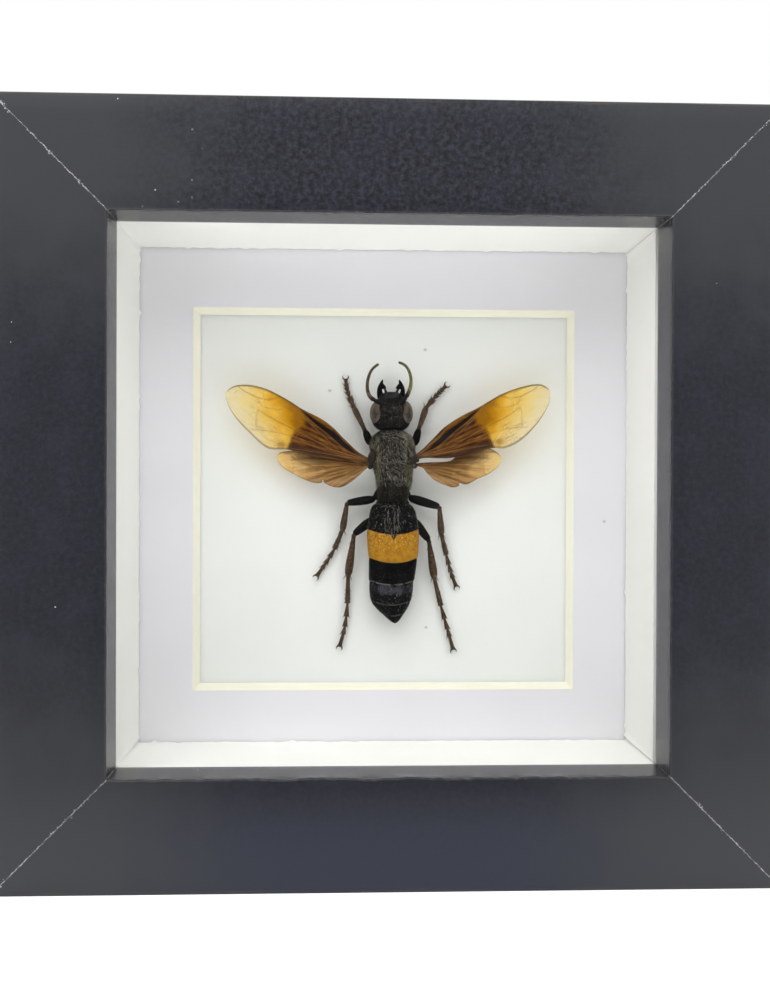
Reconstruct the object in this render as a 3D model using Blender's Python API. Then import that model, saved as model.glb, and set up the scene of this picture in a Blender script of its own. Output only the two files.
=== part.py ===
"""A dried wasp in a deep black box frame.

The frame stands on its bottom edge with its glass facing -Y and +Z up. The origin is the middle
of its footprint. Sizes are in millimetres and become metres as each mesh is finished. Depths run
backwards from the front face. The wasp is laid out in plan: x to the right and y up from the
frame's centre, with its height above the backing board.
"""

import math

import bmesh
import bpy
from mathutils import Matrix, Vector

MM = 0.001

# Frame moulding
OUTSIDE = 150.0
DEPTH = 43.5
LIP_FRONT_HALF = 53.4
LIP_BACK_HALF = 53.1
LIP_DEPTH = 10.0
RABBET_HALF = 58.0
MITRE_GAP = 0.3
EDGE_ROUND = 0.6

# Layers behind the lip, each with a small gap to the next
GAP = 0.3
GLASS_THICK = 2.0
LINING_DEPTH = 18.4
LINING_FRONT_HALF = 53.0
LINING_BACK_HALF = 51.8
PANEL_HALF = 57.5
MAT_THICK = 1.4
WINDOW_HALF = 40.56
WINDOW_DROP = 1.04
BACKING_THICK = 5.0
BACK_BOARD_THICK = 3.0

GLASS_FRONT = LIP_DEPTH + GAP
LINING_FRONT = GLASS_FRONT + GLASS_THICK + GAP
MAT_FRONT = LINING_FRONT + LINING_DEPTH + GAP
BACKING_FRONT = MAT_FRONT + MAT_THICK + GAP
BACK_BOARD_FRONT = BACKING_FRONT + BACKING_THICK + GAP
BACK_BOARD_BACK = BACK_BOARD_FRONT + BACK_BOARD_THICK

# Tabs and hanger
TAB_THICK = 0.5
TAB_WIDTH = 9.0
TAB_REACH = 8.0
TAB_FLANGE = 1.2
TAB_SPREAD = 32.0
HANGER_WIDTH = 44.0
HANGER_HEIGHT = 9.0
HANGER_THICK = 0.6
HANGER_UP = PANEL_HALF - 12.0
HANGER_CORNER = (3.0, 1.0)
HANGER_TEETH = 9
TEETH_WIDTH = 34.0
TOOTH_DEPTH = 1.2
NAIL_SPREAD = 18.5
NAIL_RADIUS = 0.6
NAIL_HOLE_RADIUS = 0.9
NAIL_HEAD_RADIUS = 1.4
NAIL_HEAD_THICK = 0.5
NAIL_LENGTH = 3.0
NAIL_HOLE_DEPTH = 2.4

# Glue
GLUE_CENTRE = (1.6, 7.0)
GLUE_RADIUS = 2.2
GLUE_HEIGHT = 1.0

# Wasp
BODY_SIDES = 16
LEG_SIDES = 7
FEELER_SIDES = 6
WING_THICK = 0.3
FORE_WING_HEIGHTS = (7.9, 6.6)
HIND_WING_HEIGHTS = (7.1, 5.0)

SIDES = {"bottom": 0.0, "right": 90.0, "top": 180.0, "left": 270.0}


def clear_scene():
    for old in list(bpy.data.objects):
        bpy.data.objects.remove(old, do_unlink=True)


def principled(name, colour, roughness, metallic=0.0, transmission=0.0, coat=0.0):
    material = bpy.data.materials.new(name)
    material.use_nodes = True
    shader = material.node_tree.nodes["Principled BSDF"]
    shader.inputs["Base Color"].default_value = (*colour, 1.0)
    shader.inputs["Roughness"].default_value = roughness
    shader.inputs["Metallic"].default_value = metallic
    shader.inputs["Transmission Weight"].default_value = transmission
    shader.inputs["Coat Weight"].default_value = coat
    material.diffuse_color = (*colour, 1.0)
    return material


def finish(name, bm, material, smooth_degrees=None):
    """Turn a bmesh in millimetres into a named object in metres."""
    bmesh.ops.remove_doubles(bm, verts=bm.verts, dist=0.0005)
    bmesh.ops.recalc_face_normals(bm, faces=bm.faces)
    bmesh.ops.scale(bm, vec=(MM, MM, MM), verts=bm.verts)
    mesh = bpy.data.meshes.new(name)
    bm.to_mesh(mesh)
    bm.free()
    mesh.materials.append(material)
    if smooth_degrees is not None:
        mesh.shade_smooth()
        mesh.set_sharp_from_angle(angle=math.radians(smooth_degrees))
    obj = bpy.data.objects.new(name, mesh)
    bpy.context.scene.collection.objects.link(obj)
    return obj


def hide_cutter(obj):
    obj.hide_render = True
    obj.display_type = "WIRE"


def boolean(obj, operation, other):
    modifier = obj.modifiers.new(other.name, "BOOLEAN")
    modifier.operation = operation
    modifier.solver = "EXACT"
    if isinstance(other, bpy.types.Collection):
        modifier.operand_type = "COLLECTION"
        modifier.collection = other
    else:
        modifier.object = other


def place(x, depth, up):
    """A point from its offset right, its depth behind the front face and its offset up."""
    return Vector((x, depth - DEPTH / 2, OUTSIDE / 2 + up))


def face_of(bm, points):
    return bm.faces.new([bm.verts.new(point) for point in points])


def extrude_to(bm, face, move):
    """Extrude a face and move the new end by a vector or a 4x4 matrix; returns the new end."""
    inside = any(len(edge.link_faces) > 1 for edge in face.edges)
    result = bmesh.ops.extrude_face_region(bm, geom=[face])
    if inside:
        bmesh.ops.delete(bm, geom=[face], context="FACES_ONLY")
    verts = [item for item in result["geom"] if isinstance(item, bmesh.types.BMVert)]
    if isinstance(move, Matrix):
        bmesh.ops.transform(bm, matrix=move, verts=verts)
    else:
        bmesh.ops.translate(bm, vec=move, verts=verts)
    return next(item for item in result["geom"] if isinstance(item, bmesh.types.BMFace))


def turn_about_centre(degrees):
    """A turn in the plane of the frame, about the frame's centre."""
    centre = Matrix.Translation(place(0, DEPTH / 2, 0))
    return centre @ Matrix.Rotation(math.radians(-degrees), 4, "Y") @ centre.inverted()


def mitred_strip(profile, turn, rounded=()):
    """A straight strip with 45 degree ends, from a profile of (distance from centre, depth)."""
    bm = bmesh.new()
    end_gap = MITRE_GAP / 2 * math.sqrt(2)
    start = [place(-(reach - end_gap), depth, -reach) for reach, depth in profile]
    stop = [place(reach - end_gap, depth, -reach) for reach, depth in profile]
    first = [bm.verts.new(point) for point in start]
    last = [bm.verts.new(point) for point in stop]
    bm.faces.new(first)
    bm.faces.new(list(reversed(last)))
    count = len(profile)
    for i in range(count):
        k = (i + 1) % count
        bm.faces.new((first[k], first[i], last[i], last[k]))
    bm.edges.ensure_lookup_table()
    soft = [bm.edges.get((first[i], last[i])) for i in rounded]
    bmesh.ops.bevel(
        bm, geom=soft, offset=EDGE_ROUND, offset_type="OFFSET", segments=2, profile=0.5,
        affect="EDGES", material=-1,
    )
    bmesh.ops.transform(bm, matrix=turn_about_centre(turn), verts=bm.verts)
    return bm


def panel(front, thick):
    """A square sheet that fills the rabbet, from its front's depth."""
    bm = bmesh.new()
    bmesh.ops.create_cube(bm, size=1.0)
    bmesh.ops.scale(bm, vec=(2 * PANEL_HALF, thick, 2 * PANEL_HALF), verts=bm.verts)
    bmesh.ops.translate(bm, vec=place(0, front + thick / 2, 0), verts=bm.verts)
    return bm


def rod(radius, front, back, x, up, sides=12):
    """A round bar that runs straight back."""
    bm = bmesh.new()
    turn = Matrix.Translation(place(x, (front + back) / 2, up)) @ Matrix.Rotation(
        math.radians(90), 4, "X"
    )
    bmesh.ops.create_cone(
        bm, cap_ends=True, segments=sides, radius1=radius, radius2=radius,
        depth=back - front, matrix=turn,
    )
    return bm


def build_frame(black):
    half = OUTSIDE / 2
    profile = [
        (half, 0.0),
        (LIP_FRONT_HALF, 0.0),
        (LIP_BACK_HALF, LIP_DEPTH),
        (RABBET_HALF, LIP_DEPTH),
        (RABBET_HALF, DEPTH),
        (half, DEPTH),
    ]
    for side, turn in SIDES.items():
        rail = mitred_strip(profile, turn, rounded=(0, 1, 5))
        finish(f"frame_rail_{side}", rail, black)


def build_lining(white):
    profile = [
        (PANEL_HALF, LINING_FRONT),
        (LINING_FRONT_HALF, LINING_FRONT),
        (LINING_BACK_HALF, LINING_FRONT + LINING_DEPTH),
        (PANEL_HALF, LINING_FRONT + LINING_DEPTH),
    ]
    for side, turn in SIDES.items():
        finish(f"lining_{side}", mitred_strip(profile, turn), white)


def window_cutter():
    """A square pyramid stump at 45 degrees, which cuts the mat's window with its bevel."""
    bm = bmesh.new()
    over = 1.0
    depth = MAT_THICK + 2 * over
    to_corner = math.sqrt(2)
    centre = place(0, MAT_FRONT + MAT_THICK / 2, -WINDOW_DROP)
    lie = Matrix.Translation(centre) @ Matrix.Rotation(math.radians(90), 4, "X")
    bmesh.ops.create_cone(
        bm, cap_ends=True, segments=4, depth=depth,
        radius1=(WINDOW_HALF - MAT_THICK - over) * to_corner,
        radius2=(WINDOW_HALF + over) * to_corner,
        matrix=lie @ Matrix.Rotation(math.radians(45), 4, "Z"),
    )
    return bm


def build_panels(glass, mat, white, fibreboard):
    finish("glass_pane", panel(GLASS_FRONT, GLASS_THICK), glass)
    board = finish("mat_board", panel(MAT_FRONT, MAT_THICK), mat)
    cutter = finish("mat_window_cutter", window_cutter(), mat)
    hide_cutter(cutter)
    boolean(board, "DIFFERENCE", cutter)
    finish("backing_board", panel(BACKING_FRONT, BACKING_THICK), white)
    back = finish("back_board", panel(BACK_BOARD_FRONT, BACK_BOARD_THICK), fibreboard)
    for side, x in (("left", -NAIL_SPREAD), ("right", NAIL_SPREAD)):
        hole = finish(f"back_board_hole_{side}", nail_hole(x), fibreboard)
        hide_cutter(hole)
        boolean(back, "DIFFERENCE", hole)


def nail_hole(x):
    """The cutter for a nail's blind hole in the back board."""
    floor = BACK_BOARD_BACK - NAIL_HOLE_DEPTH
    return rod(NAIL_HOLE_RADIUS, floor, BACK_BOARD_BACK + 1.0, x, HANGER_UP)


def build_tabs(steel):
    """Eight bent tabs, two on a side: a foot on the back board and a flange on the rabbet wall."""
    foot = BACK_BOARD_BACK + GAP
    heel = RABBET_HALF - GAP
    profile = [
        (heel - TAB_REACH, foot),
        (heel, foot),
        (heel, foot + TAB_THICK + TAB_FLANGE),
        (heel - TAB_THICK, foot + TAB_THICK + TAB_FLANGE),
        (heel - TAB_THICK, foot + TAB_THICK),
        (heel - TAB_REACH, foot + TAB_THICK),
    ]
    number = 0
    for turn in SIDES.values():
        for middle in (-TAB_SPREAD, TAB_SPREAD):
            number += 1
            bm = bmesh.new()
            left = middle - TAB_WIDTH / 2
            end = face_of(bm, [place(left, depth, -reach) for reach, depth in profile])
            extrude_to(bm, end, (TAB_WIDTH, 0, 0))
            bmesh.ops.transform(bm, matrix=turn_about_centre(turn), verts=bm.verts)
            finish(f"flex_tab_{number}", bm, steel)


def build_hanger(brass):
    """A plate with a row of teeth along its lower edge, and the two nails through it."""
    front = BACK_BOARD_BACK + GAP
    half = HANGER_WIDTH / 2
    top = HANGER_UP + HANGER_HEIGHT / 2
    low = HANGER_UP - HANGER_HEIGHT / 2
    corner_x, corner_up = HANGER_CORNER
    pitch = TEETH_WIDTH / HANGER_TEETH
    outline = [(half, low + TOOTH_DEPTH), (half, top - corner_up), (half - corner_x, top)]
    outline += [(corner_x - half, top), (-half, top - corner_up), (-half, low + TOOTH_DEPTH)]
    for i in range(HANGER_TEETH):
        x = i * pitch - TEETH_WIDTH / 2
        outline += [(x, low), (x + pitch / 2, low + TOOTH_DEPTH)]
    outline.append((TEETH_WIDTH / 2, low))
    bm = bmesh.new()
    face = face_of(bm, [place(x, front, up) for x, up in outline])
    extrude_to(bm, face, (0, HANGER_THICK, 0))
    plate = finish("hanger_plate", bm, brass)
    for side, x in (("left", -NAIL_SPREAD), ("right", NAIL_SPREAD)):
        cutter = finish(
            f"hanger_hole_{side}",
            rod(NAIL_HOLE_RADIUS, front - 1.0, front + HANGER_THICK + 1.0, x, HANGER_UP),
            brass,
        )
        hide_cutter(cutter)
        boolean(plate, "DIFFERENCE", cutter)
        head_front = front + HANGER_THICK + GAP / 2
        nail = rod(NAIL_RADIUS, head_front - NAIL_LENGTH, head_front, x, HANGER_UP)
        tip = next(
            face for face in nail.faces
            if len(face.verts) > 4 and face.calc_center_median().y > place(0, front, 0).y
        )
        grow = NAIL_HEAD_RADIUS / NAIL_RADIUS
        middle = Matrix.Translation(tip.calc_center_median())
        wider = middle @ Matrix.Diagonal((grow, 1.0, grow, 1.0)) @ middle.inverted()
        shoulder = extrude_to(nail, tip, wider)
        extrude_to(nail, shoulder, (0, NAIL_HEAD_THICK, 0))
        finish(f"hanger_nail_{side}", nail, brass, smooth_degrees=40)


def build_glue(glue):
    """A low round dab that stands on the backing board below the thorax."""
    bm = bmesh.new()
    x, up = GLUE_CENTRE
    turn = Matrix.Rotation(math.radians(90), 4, "X")
    middle = BACKING_FRONT - GAP - GLUE_HEIGHT / 2
    bmesh.ops.create_cone(
        bm, cap_ends=True, segments=16, radius1=GLUE_RADIUS, radius2=GLUE_RADIUS * 0.7,
        depth=GLUE_HEIGHT, matrix=Matrix.Translation(place(x, middle, up)) @ turn,
    )
    finish("glue_dab", bm, glue, smooth_degrees=40)


def plan(x, y, height):
    """A point of the wasp from its plan position and its height above the backing board."""
    return place(x, BACKING_FRONT - height, y)


def plan_axes(along):
    """Axes with +Z along a direction and +Y as near as can be to straight out of the board."""
    out = Vector((0, -1, 0))
    forward = along.normalized()
    side = out.cross(forward).normalized()
    up = forward.cross(side)
    return Matrix((side, up, forward)).transposed().to_4x4()


def swept(rings, sides):
    """A closed solid through a row of 4x4 matrices, each of which places a unit circle."""
    bm = bmesh.new()
    bmesh.ops.create_circle(bm, cap_ends=True, segments=sides, radius=1.0, matrix=rings[0])
    bm.faces.ensure_lookup_table()
    end = bm.faces[0]
    for before, after in zip(rings, rings[1:]):
        end = extrude_to(bm, end, after @ before.inverted())
    return bm


def body(stations, sides=BODY_SIDES):
    """A body along the wasp's length, from (y, x, height, half width, half thickness)."""
    forward = plan(0, 1, 0) - plan(0, 0, 0)
    turn = plan_axes(forward)
    rings = []
    for y, x, height, half_width, half_thick in stations:
        size = Matrix.Diagonal((half_width, half_thick, 1.0, 1.0))
        rings.append(Matrix.Translation(plan(x, y, height)) @ turn @ size)
    return swept(rings, sides)


def limb(joints, sides=LEG_SIDES, flat=1.0):
    """A tapering limb through (x, y, height, radius) points, flattened against the board."""
    points = [plan(x, y, height) for x, y, height, _ in joints]
    rings = []
    for i, (point, joint) in enumerate(zip(points, joints)):
        before = points[max(i - 1, 0)]
        after = points[min(i + 1, len(points) - 1)]
        size = Matrix.Diagonal((joint[3], joint[3] * flat, 1.0, 1.0))
        rings.append(Matrix.Translation(point) @ plan_axes(after - before) @ size)
    return swept(rings, sides)


def ball(x, y, height, half_x, half_y, half_height):
    bm = bmesh.new()
    bmesh.ops.create_icosphere(bm, subdivisions=2, radius=1.0)
    bmesh.ops.scale(bm, vec=(half_x, half_height, half_y), verts=bm.verts)
    bmesh.ops.translate(bm, vec=plan(x, y, height), verts=bm.verts)
    return bm


def curve_through(points, steps):
    """Points on a smooth closed curve that passes through each corner of an outline."""
    count = len(points)
    smooth = []
    for i in range(count):
        a, b, c, d = (Vector(points[(i + k) % count]) for k in (-1, 0, 1, 2))
        for step in range(steps):
            t = step / steps
            smooth.append(
                0.5 * (2 * b + (c - a) * t + (2 * a - 5 * b + 4 * c - d) * t**2
                       + (3 * b - a - 3 * c + d) * t**3)
            )
    return smooth


def wing(outline, heights, root_to_tip):
    """A flat membrane with a plan outline, falling evenly from its root to its tip."""
    root_height, tip_height = heights
    root_x, tip_x = root_to_tip
    bm = bmesh.new()
    points = []
    for x, y in curve_through(outline, 2):
        share = (x - root_x) / (tip_x - root_x)
        points.append(plan(x, y, root_height + (tip_height - root_height) * share))
    extrude_to(bm, face_of(bm, points), (0, WING_THICK, 0))
    return bm


def spur(x, y, height, away_x, away_y, radius=0.16):
    """A short sharp spine from a point on a leg."""
    tip = (x + away_x, y + away_y, height - 0.1, radius * 0.25)
    return limb([(x, y, height, radius), tip], sides=4)


def build_body_forms():
    thorax = body([
        (-1.7, 1.55, 4.9, 1.1, 1.0),
        (-1.1, 1.6, 5.0, 2.2, 2.2),
        (-0.1, 1.65, 5.2, 3.0, 3.0),
        (1.6, 1.75, 5.4, 3.5, 3.5),
        (2.9, 1.8, 5.5, 3.6, 3.7),
        (4.6, 1.7, 5.5, 3.8, 3.8),
        (6.4, 1.55, 5.5, 4.3, 3.9),
        (8.4, 1.5, 5.5, 4.7, 3.9),
        (10.4, 1.45, 5.4, 4.7, 3.7),
        (12.0, 1.4, 5.3, 4.3, 3.2),
        (13.1, 1.35, 5.1, 3.3, 2.3),
        (13.7, 1.3, 5.0, 2.0, 1.4),
    ])
    waist_and_neck = body([
        (-2.6, 1.55, 4.7, 1.2, 1.1),
        (0.0, 1.6, 4.9, 1.2, 1.1),
        (12.0, 1.35, 4.9, 1.5, 1.2),
        (15.0, 1.3, 4.8, 1.5, 1.2),
    ], sides=10)
    abdomen = body([
        (-1.9, 1.55, 4.6, 1.9, 1.7),
        (-2.7, 1.55, 4.6, 3.5, 3.0),
        (-4.2, 1.6, 4.7, 4.5, 3.7),
        (-7.2, 1.65, 4.8, 5.15, 4.1),
        (-7.3, 1.65, 4.8, 5.4, 4.25),
        (-10.2, 1.7, 4.8, 5.45, 4.3),
        (-13.5, 1.75, 4.7, 5.2, 4.15),
        (-13.6, 1.75, 4.7, 5.05, 4.0),
        (-18.0, 1.5, 4.6, 4.85, 3.85),
        (-18.1, 1.5, 4.6, 4.7, 3.7),
        (-20.6, 1.35, 4.5, 4.6, 3.55),
        (-22.6, 1.3, 4.3, 4.15, 3.2),
        (-22.7, 1.3, 4.3, 4.0, 3.05),
        (-24.4, 1.6, 4.0, 2.9, 2.3),
        (-25.9, 1.95, 3.7, 1.6, 1.3),
        (-27.1, 2.2, 3.5, 0.45, 0.4),
    ])
    head = body([
        (13.9, 1.25, 4.6, 2.0, 1.5),
        (14.5, 1.25, 4.6, 3.1, 2.3),
        (15.7, 1.2, 4.6, 3.9, 2.9),
        (17.3, 1.2, 4.6, 4.1, 3.1),
        (18.8, 1.2, 4.5, 3.7, 2.9),
        (20.2, 1.2, 4.2, 2.9, 2.2),
        (21.4, 1.2, 3.9, 2.2, 1.5),
        (22.0, 1.2, 3.7, 1.7, 0.9),
    ])
    eyes = [ball(x, 17.3, 4.9, 1.3, 2.3, 2.2) for x in (-1.95, 4.4)]
    wing_roots = [ball(x, 8.5, 7.6, 0.9, 1.2, 0.9) for x in (-2.9, 5.9)]
    return [thorax, waist_and_neck, abdomen, head, *eyes, *wing_roots]


def build_jaws_and_feelers():
    left_jaw = [(-0.9, 20.4, 3.6, 0.7), (-1.5, 21.7, 3.5, 0.65), (-1.35, 22.9, 3.4, 0.5),
                (-0.6, 24.2, 3.3, 0.12)]
    right_jaw = [(3.3, 20.4, 3.6, 0.7), (3.9, 21.7, 3.5, 0.65), (3.7, 22.9, 3.4, 0.5),
                 (2.95, 24.3, 3.3, 0.12)]
    left_feeler = [(-0.6, 18.6, 6.2, 0.45), (-1.6, 19.3, 6.6, 0.45), (-2.9, 20.1, 6.5, 0.42),
                   (-3.7, 21.4, 6.3, 0.4), (-3.85, 23.1, 6.1, 0.36), (-3.6, 24.8, 5.9, 0.33),
                   (-2.8, 26.4, 5.7, 0.28), (-1.6, 27.4, 5.6, 0.2)]
    right_feeler = [(2.6, 18.6, 6.2, 0.45), (3.6, 19.7, 6.6, 0.45), (4.5, 20.9, 6.5, 0.42),
                    (5.1, 22.6, 6.3, 0.4), (5.25, 24.4, 6.1, 0.36), (4.85, 26.1, 5.9, 0.33),
                    (3.9, 27.3, 5.7, 0.28), (2.8, 27.8, 5.6, 0.2)]
    jaws = [limb(jaw, flat=0.8) for jaw in (left_jaw, right_jaw)]
    return jaws + [limb(feeler, sides=FEELER_SIDES) for feeler in (left_feeler, right_feeler)]


def build_legs():
    """Each leg runs from its hip through the knee and shin to the end of the foot."""
    legs = [
        [(-1.4, 9.4, 3.3, 0.9), (-2.9, 10.7, 3.2, 0.85), (-3.6, 11.9, 3.6, 0.8),
         (-4.2, 13.4, 3.9, 0.6), (-4.9, 14.9, 3.3, 0.68), (-6.1, 17.7, 2.2, 0.62),
         (-6.4, 18.5, 1.8, 0.36), (-7.8, 20.7, 1.2, 0.38), (-8.4, 22.6, 0.9, 0.32),
         (-8.5, 24.0, 0.9, 0.25)],
        [(4.5, 9.4, 3.3, 0.9), (6.1, 10.7, 3.2, 0.85), (6.7, 12.2, 3.6, 0.8),
         (7.1, 13.9, 3.9, 0.6), (7.5, 15.3, 3.3, 0.7), (8.3, 17.8, 2.2, 0.62),
         (8.9, 18.8, 1.8, 0.36), (10.7, 20.8, 1.2, 0.38), (11.7, 22.0, 0.9, 0.32),
         (12.5, 23.1, 0.9, 0.25)],
        [(0.2, 2.4, 2.6, 0.8), (-1.2, -0.2, 2.8, 0.8), (-2.6, -0.9, 3.0, 0.78),
         (-5.6, -1.4, 3.7, 0.66), (-7.8, -1.7, 4.0, 0.5), (-8.1, -3.4, 3.2, 0.52),
         (-8.7, -6.7, 2.0, 0.5), (-9.1, -8.0, 1.6, 0.3), (-10.9, -11.6, 1.1, 0.34),
         (-12.5, -14.7, 0.9, 0.3), (-14.3, -17.4, 0.9, 0.25)],
        [(3.2, 2.4, 2.6, 0.8), (4.3, -0.2, 2.8, 0.8), (5.6, -0.7, 3.0, 0.78),
         (8.6, -1.5, 3.7, 0.66), (11.3, -2.4, 4.0, 0.5), (11.7, -4.4, 3.2, 0.52),
         (12.1, -7.9, 2.0, 0.5), (12.4, -9.2, 1.6, 0.3), (13.3, -11.8, 1.1, 0.34),
         (14.3, -15.7, 0.9, 0.3), (15.3, -19.1, 0.9, 0.25)],
        [(0.4, 0.6, 2.6, 0.8), (-0.8, -3.0, 2.6, 0.8), (-3.1, -5.6, 2.9, 0.78),
         (-5.0, -7.2, 3.2, 0.66), (-6.4, -8.3, 3.3, 0.5), (-6.9, -10.4, 2.8, 0.58),
         (-7.1, -14.2, 2.1, 0.68), (-7.5, -16.8, 1.8, 0.55), (-7.6, -18.2, 1.5, 0.34),
         (-7.9, -23.8, 1.1, 0.34), (-8.6, -28.8, 0.9, 0.34), (-9.7, -32.3, 0.9, 0.26)],
        [(3.0, 0.6, 2.6, 0.8), (4.3, -3.0, 2.6, 0.8), (6.3, -5.6, 2.9, 0.78),
         (8.0, -7.6, 3.2, 0.66), (9.3, -9.4, 3.3, 0.5), (9.5, -11.2, 2.8, 0.58),
         (10.0, -14.4, 2.1, 0.68), (10.6, -17.3, 1.8, 0.55), (10.8, -18.7, 1.5, 0.34),
         (11.6, -23.8, 1.1, 0.34), (13.0, -28.9, 0.9, 0.34), (14.8, -32.6, 0.9, 0.26)],
    ]
    forms = []
    shin_end = (5, 5, 6, 6, 7, 7)
    for leg, ankle in zip(legs, shin_end):
        forms.append(limb(leg))
        x, y, height, _ = leg[-1]
        run = Vector((x - leg[-2][0], y - leg[-2][1])).normalized()
        for side in (-1, 1):
            reach = run * 0.8 + Vector((-run.y, run.x)) * 0.55 * side
            forms.append(spur(x, y, height, reach.x, reach.y))
            ankle_x, ankle_y, ankle_height, radius = leg[ankle]
            reach = run * 1.2 + Vector((-run.y, run.x)) * 0.75 * side
            forms.append(spur(ankle_x, ankle_y, ankle_height, reach.x, reach.y, radius * 0.4))
    return forms


def build_wings():
    left_fore = [
        (-1.9, 7.9), (-4.7, 8.4), (-8.6, 11.4), (-13.5, 15.6), (-20.4, 19.4), (-25.1, 21.9),
        (-29.7, 22.85), (-32.4, 22.1), (-33.4, 20.8), (-31.9, 17.4), (-27.3, 11.8),
        (-22.6, 9.1), (-13.5, 8.5), (-4.9, 7.0),
    ]
    right_fore = [
        (4.9, 8.1), (7.3, 8.7), (11.8, 13.5), (16.7, 17.2), (23.7, 21.2), (28.4, 23.1),
        (33.2, 23.0), (34.7, 21.6), (33.2, 17.6), (29.2, 12.8), (25.2, 10.0), (21.8, 10.0),
        (14.8, 8.8), (7.9, 7.2),
    ]
    left_hind = [
        (-2.0, 6.9), (-8.5, 7.6), (-17.9, 9.1), (-21.5, 8.6), (-22.7, 7.6), (-20.4, 4.7),
        (-14.8, 2.4), (-8.9, 1.7), (-4.2, 5.3),
    ]
    right_hind = [
        (4.9, 6.9), (9.9, 6.6), (17.4, 8.1), (21.8, 9.5), (24.5, 8.2), (23.0, 5.3),
        (18.1, 2.5), (12.7, 1.9), (7.6, 5.3),
    ]
    left_root_to_tip = (-2.0, -33.4)
    right_root_to_tip = (4.9, 34.7)
    return [
        wing(left_fore, FORE_WING_HEIGHTS, left_root_to_tip),
        wing(right_fore, FORE_WING_HEIGHTS, right_root_to_tip),
        wing(left_hind, HIND_WING_HEIGHTS, left_root_to_tip),
        wing(right_hind, HIND_WING_HEIGHTS, right_root_to_tip),
    ]


def build_wasp(chitin):
    """One solid: a thorax with every other part of the insect joined to it."""
    forms = build_body_forms() + build_jaws_and_feelers() + build_legs() + build_wings()
    joined = bpy.data.collections.new("wasp_forms")
    bpy.context.scene.collection.children.link(joined)
    wasp = finish("wasp", forms[0], chitin, smooth_degrees=40)
    for number, form in enumerate(forms[1:], 1):
        part = finish(f"wasp_form_{number}", form, chitin, smooth_degrees=40)
        bpy.context.scene.collection.objects.unlink(part)
        joined.objects.link(part)
        hide_cutter(part)
    boolean(wasp, "UNION", joined)


def main():
    clear_scene()
    black = principled("frame_paint", (0.022, 0.023, 0.028), 0.45)
    glass = principled("glass", (1.0, 1.0, 1.0), 0.02, transmission=1.0)
    white = principled("white_board", (0.86, 0.85, 0.8), 0.7)
    mat = principled("mat_paper", (0.66, 0.65, 0.68), 0.85)
    fibreboard = principled("fibreboard", (0.3, 0.19, 0.1), 0.8)
    steel = principled("tab_steel", (0.5, 0.5, 0.5), 0.35, metallic=1.0)
    brass = principled("hanger_brass", (0.62, 0.45, 0.2), 0.35, metallic=1.0)
    glue = principled("glue", (0.8, 0.75, 0.6), 0.25, coat=0.3)
    chitin = principled("wasp_chitin", (0.035, 0.025, 0.018), 0.4)
    build_frame(black)
    build_lining(white)
    build_panels(glass, mat, white, fibreboard)
    build_tabs(steel)
    build_hanger(brass)
    build_glue(glue)
    build_wasp(chitin)


main()
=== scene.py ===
"""Looks of a dried wasp in a deep black box frame.

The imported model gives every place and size. The new pieces are modelled in millimetres, as an
offset right (x), a depth behind the front face and an offset up from the frame's centre, and
become metres in the object's own frame as each mesh is finished. The wasp is laid out in plan,
with its height above the backing board.
"""

from __future__ import annotations

import logging
import math
import random
from dataclasses import dataclass, field
from enum import Enum
from typing import Any, Callable, Iterable, Sequence, Union

import bmesh
import bpy
from bmesh.types import BMEdge, BMesh, BMFace, BMVert
from bpy.types import Material, Node, NodeSocket
from mathutils import Matrix, Vector, noise


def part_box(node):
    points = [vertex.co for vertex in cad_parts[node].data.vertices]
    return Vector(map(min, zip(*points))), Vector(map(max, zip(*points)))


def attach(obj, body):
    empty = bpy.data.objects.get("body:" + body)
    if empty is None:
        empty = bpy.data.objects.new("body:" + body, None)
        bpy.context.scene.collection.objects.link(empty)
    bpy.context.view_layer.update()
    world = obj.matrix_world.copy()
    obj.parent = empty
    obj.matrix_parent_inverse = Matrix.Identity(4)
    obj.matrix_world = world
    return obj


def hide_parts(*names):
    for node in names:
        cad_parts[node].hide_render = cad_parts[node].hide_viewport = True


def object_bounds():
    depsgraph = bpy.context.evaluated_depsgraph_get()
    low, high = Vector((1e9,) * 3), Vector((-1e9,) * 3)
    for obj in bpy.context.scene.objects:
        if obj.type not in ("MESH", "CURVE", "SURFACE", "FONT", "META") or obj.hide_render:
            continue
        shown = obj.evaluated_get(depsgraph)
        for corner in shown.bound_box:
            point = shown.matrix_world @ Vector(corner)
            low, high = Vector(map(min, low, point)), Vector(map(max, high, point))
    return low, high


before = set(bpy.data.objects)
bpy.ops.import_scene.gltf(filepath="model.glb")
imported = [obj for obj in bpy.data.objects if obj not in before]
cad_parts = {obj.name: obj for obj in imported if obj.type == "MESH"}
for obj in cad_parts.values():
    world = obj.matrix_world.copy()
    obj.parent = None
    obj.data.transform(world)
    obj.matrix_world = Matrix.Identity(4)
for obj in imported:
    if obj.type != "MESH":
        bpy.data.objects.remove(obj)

CAD_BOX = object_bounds()
MM = 0.001
LOG = logging.getLogger("framed_wasp")
Colour = tuple[float, float, float]
Point = tuple[float, float, float]
Plan = tuple[float, float]
Line = tuple[Plan, ...]
Row = tuple[float, ...]
Rows = Sequence[Sequence[float]]
Key = Union[int, str]
Source = Union[float, tuple, "Wire"]


def depth_of(node: str) -> Plan:
    """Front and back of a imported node.

    Args:
        node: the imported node's name.

    Returns:
        Its depths behind the front face, in millimetres.
    """
    low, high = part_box(node)
    return (low.y - CAD_BOX[0].y) / MM, (high.y - CAD_BOX[0].y) / MM


def half_of(node: str) -> float:
    """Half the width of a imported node, in millimetres."""
    low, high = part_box(node)
    return (high.x - low.x) / 2 / MM


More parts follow.
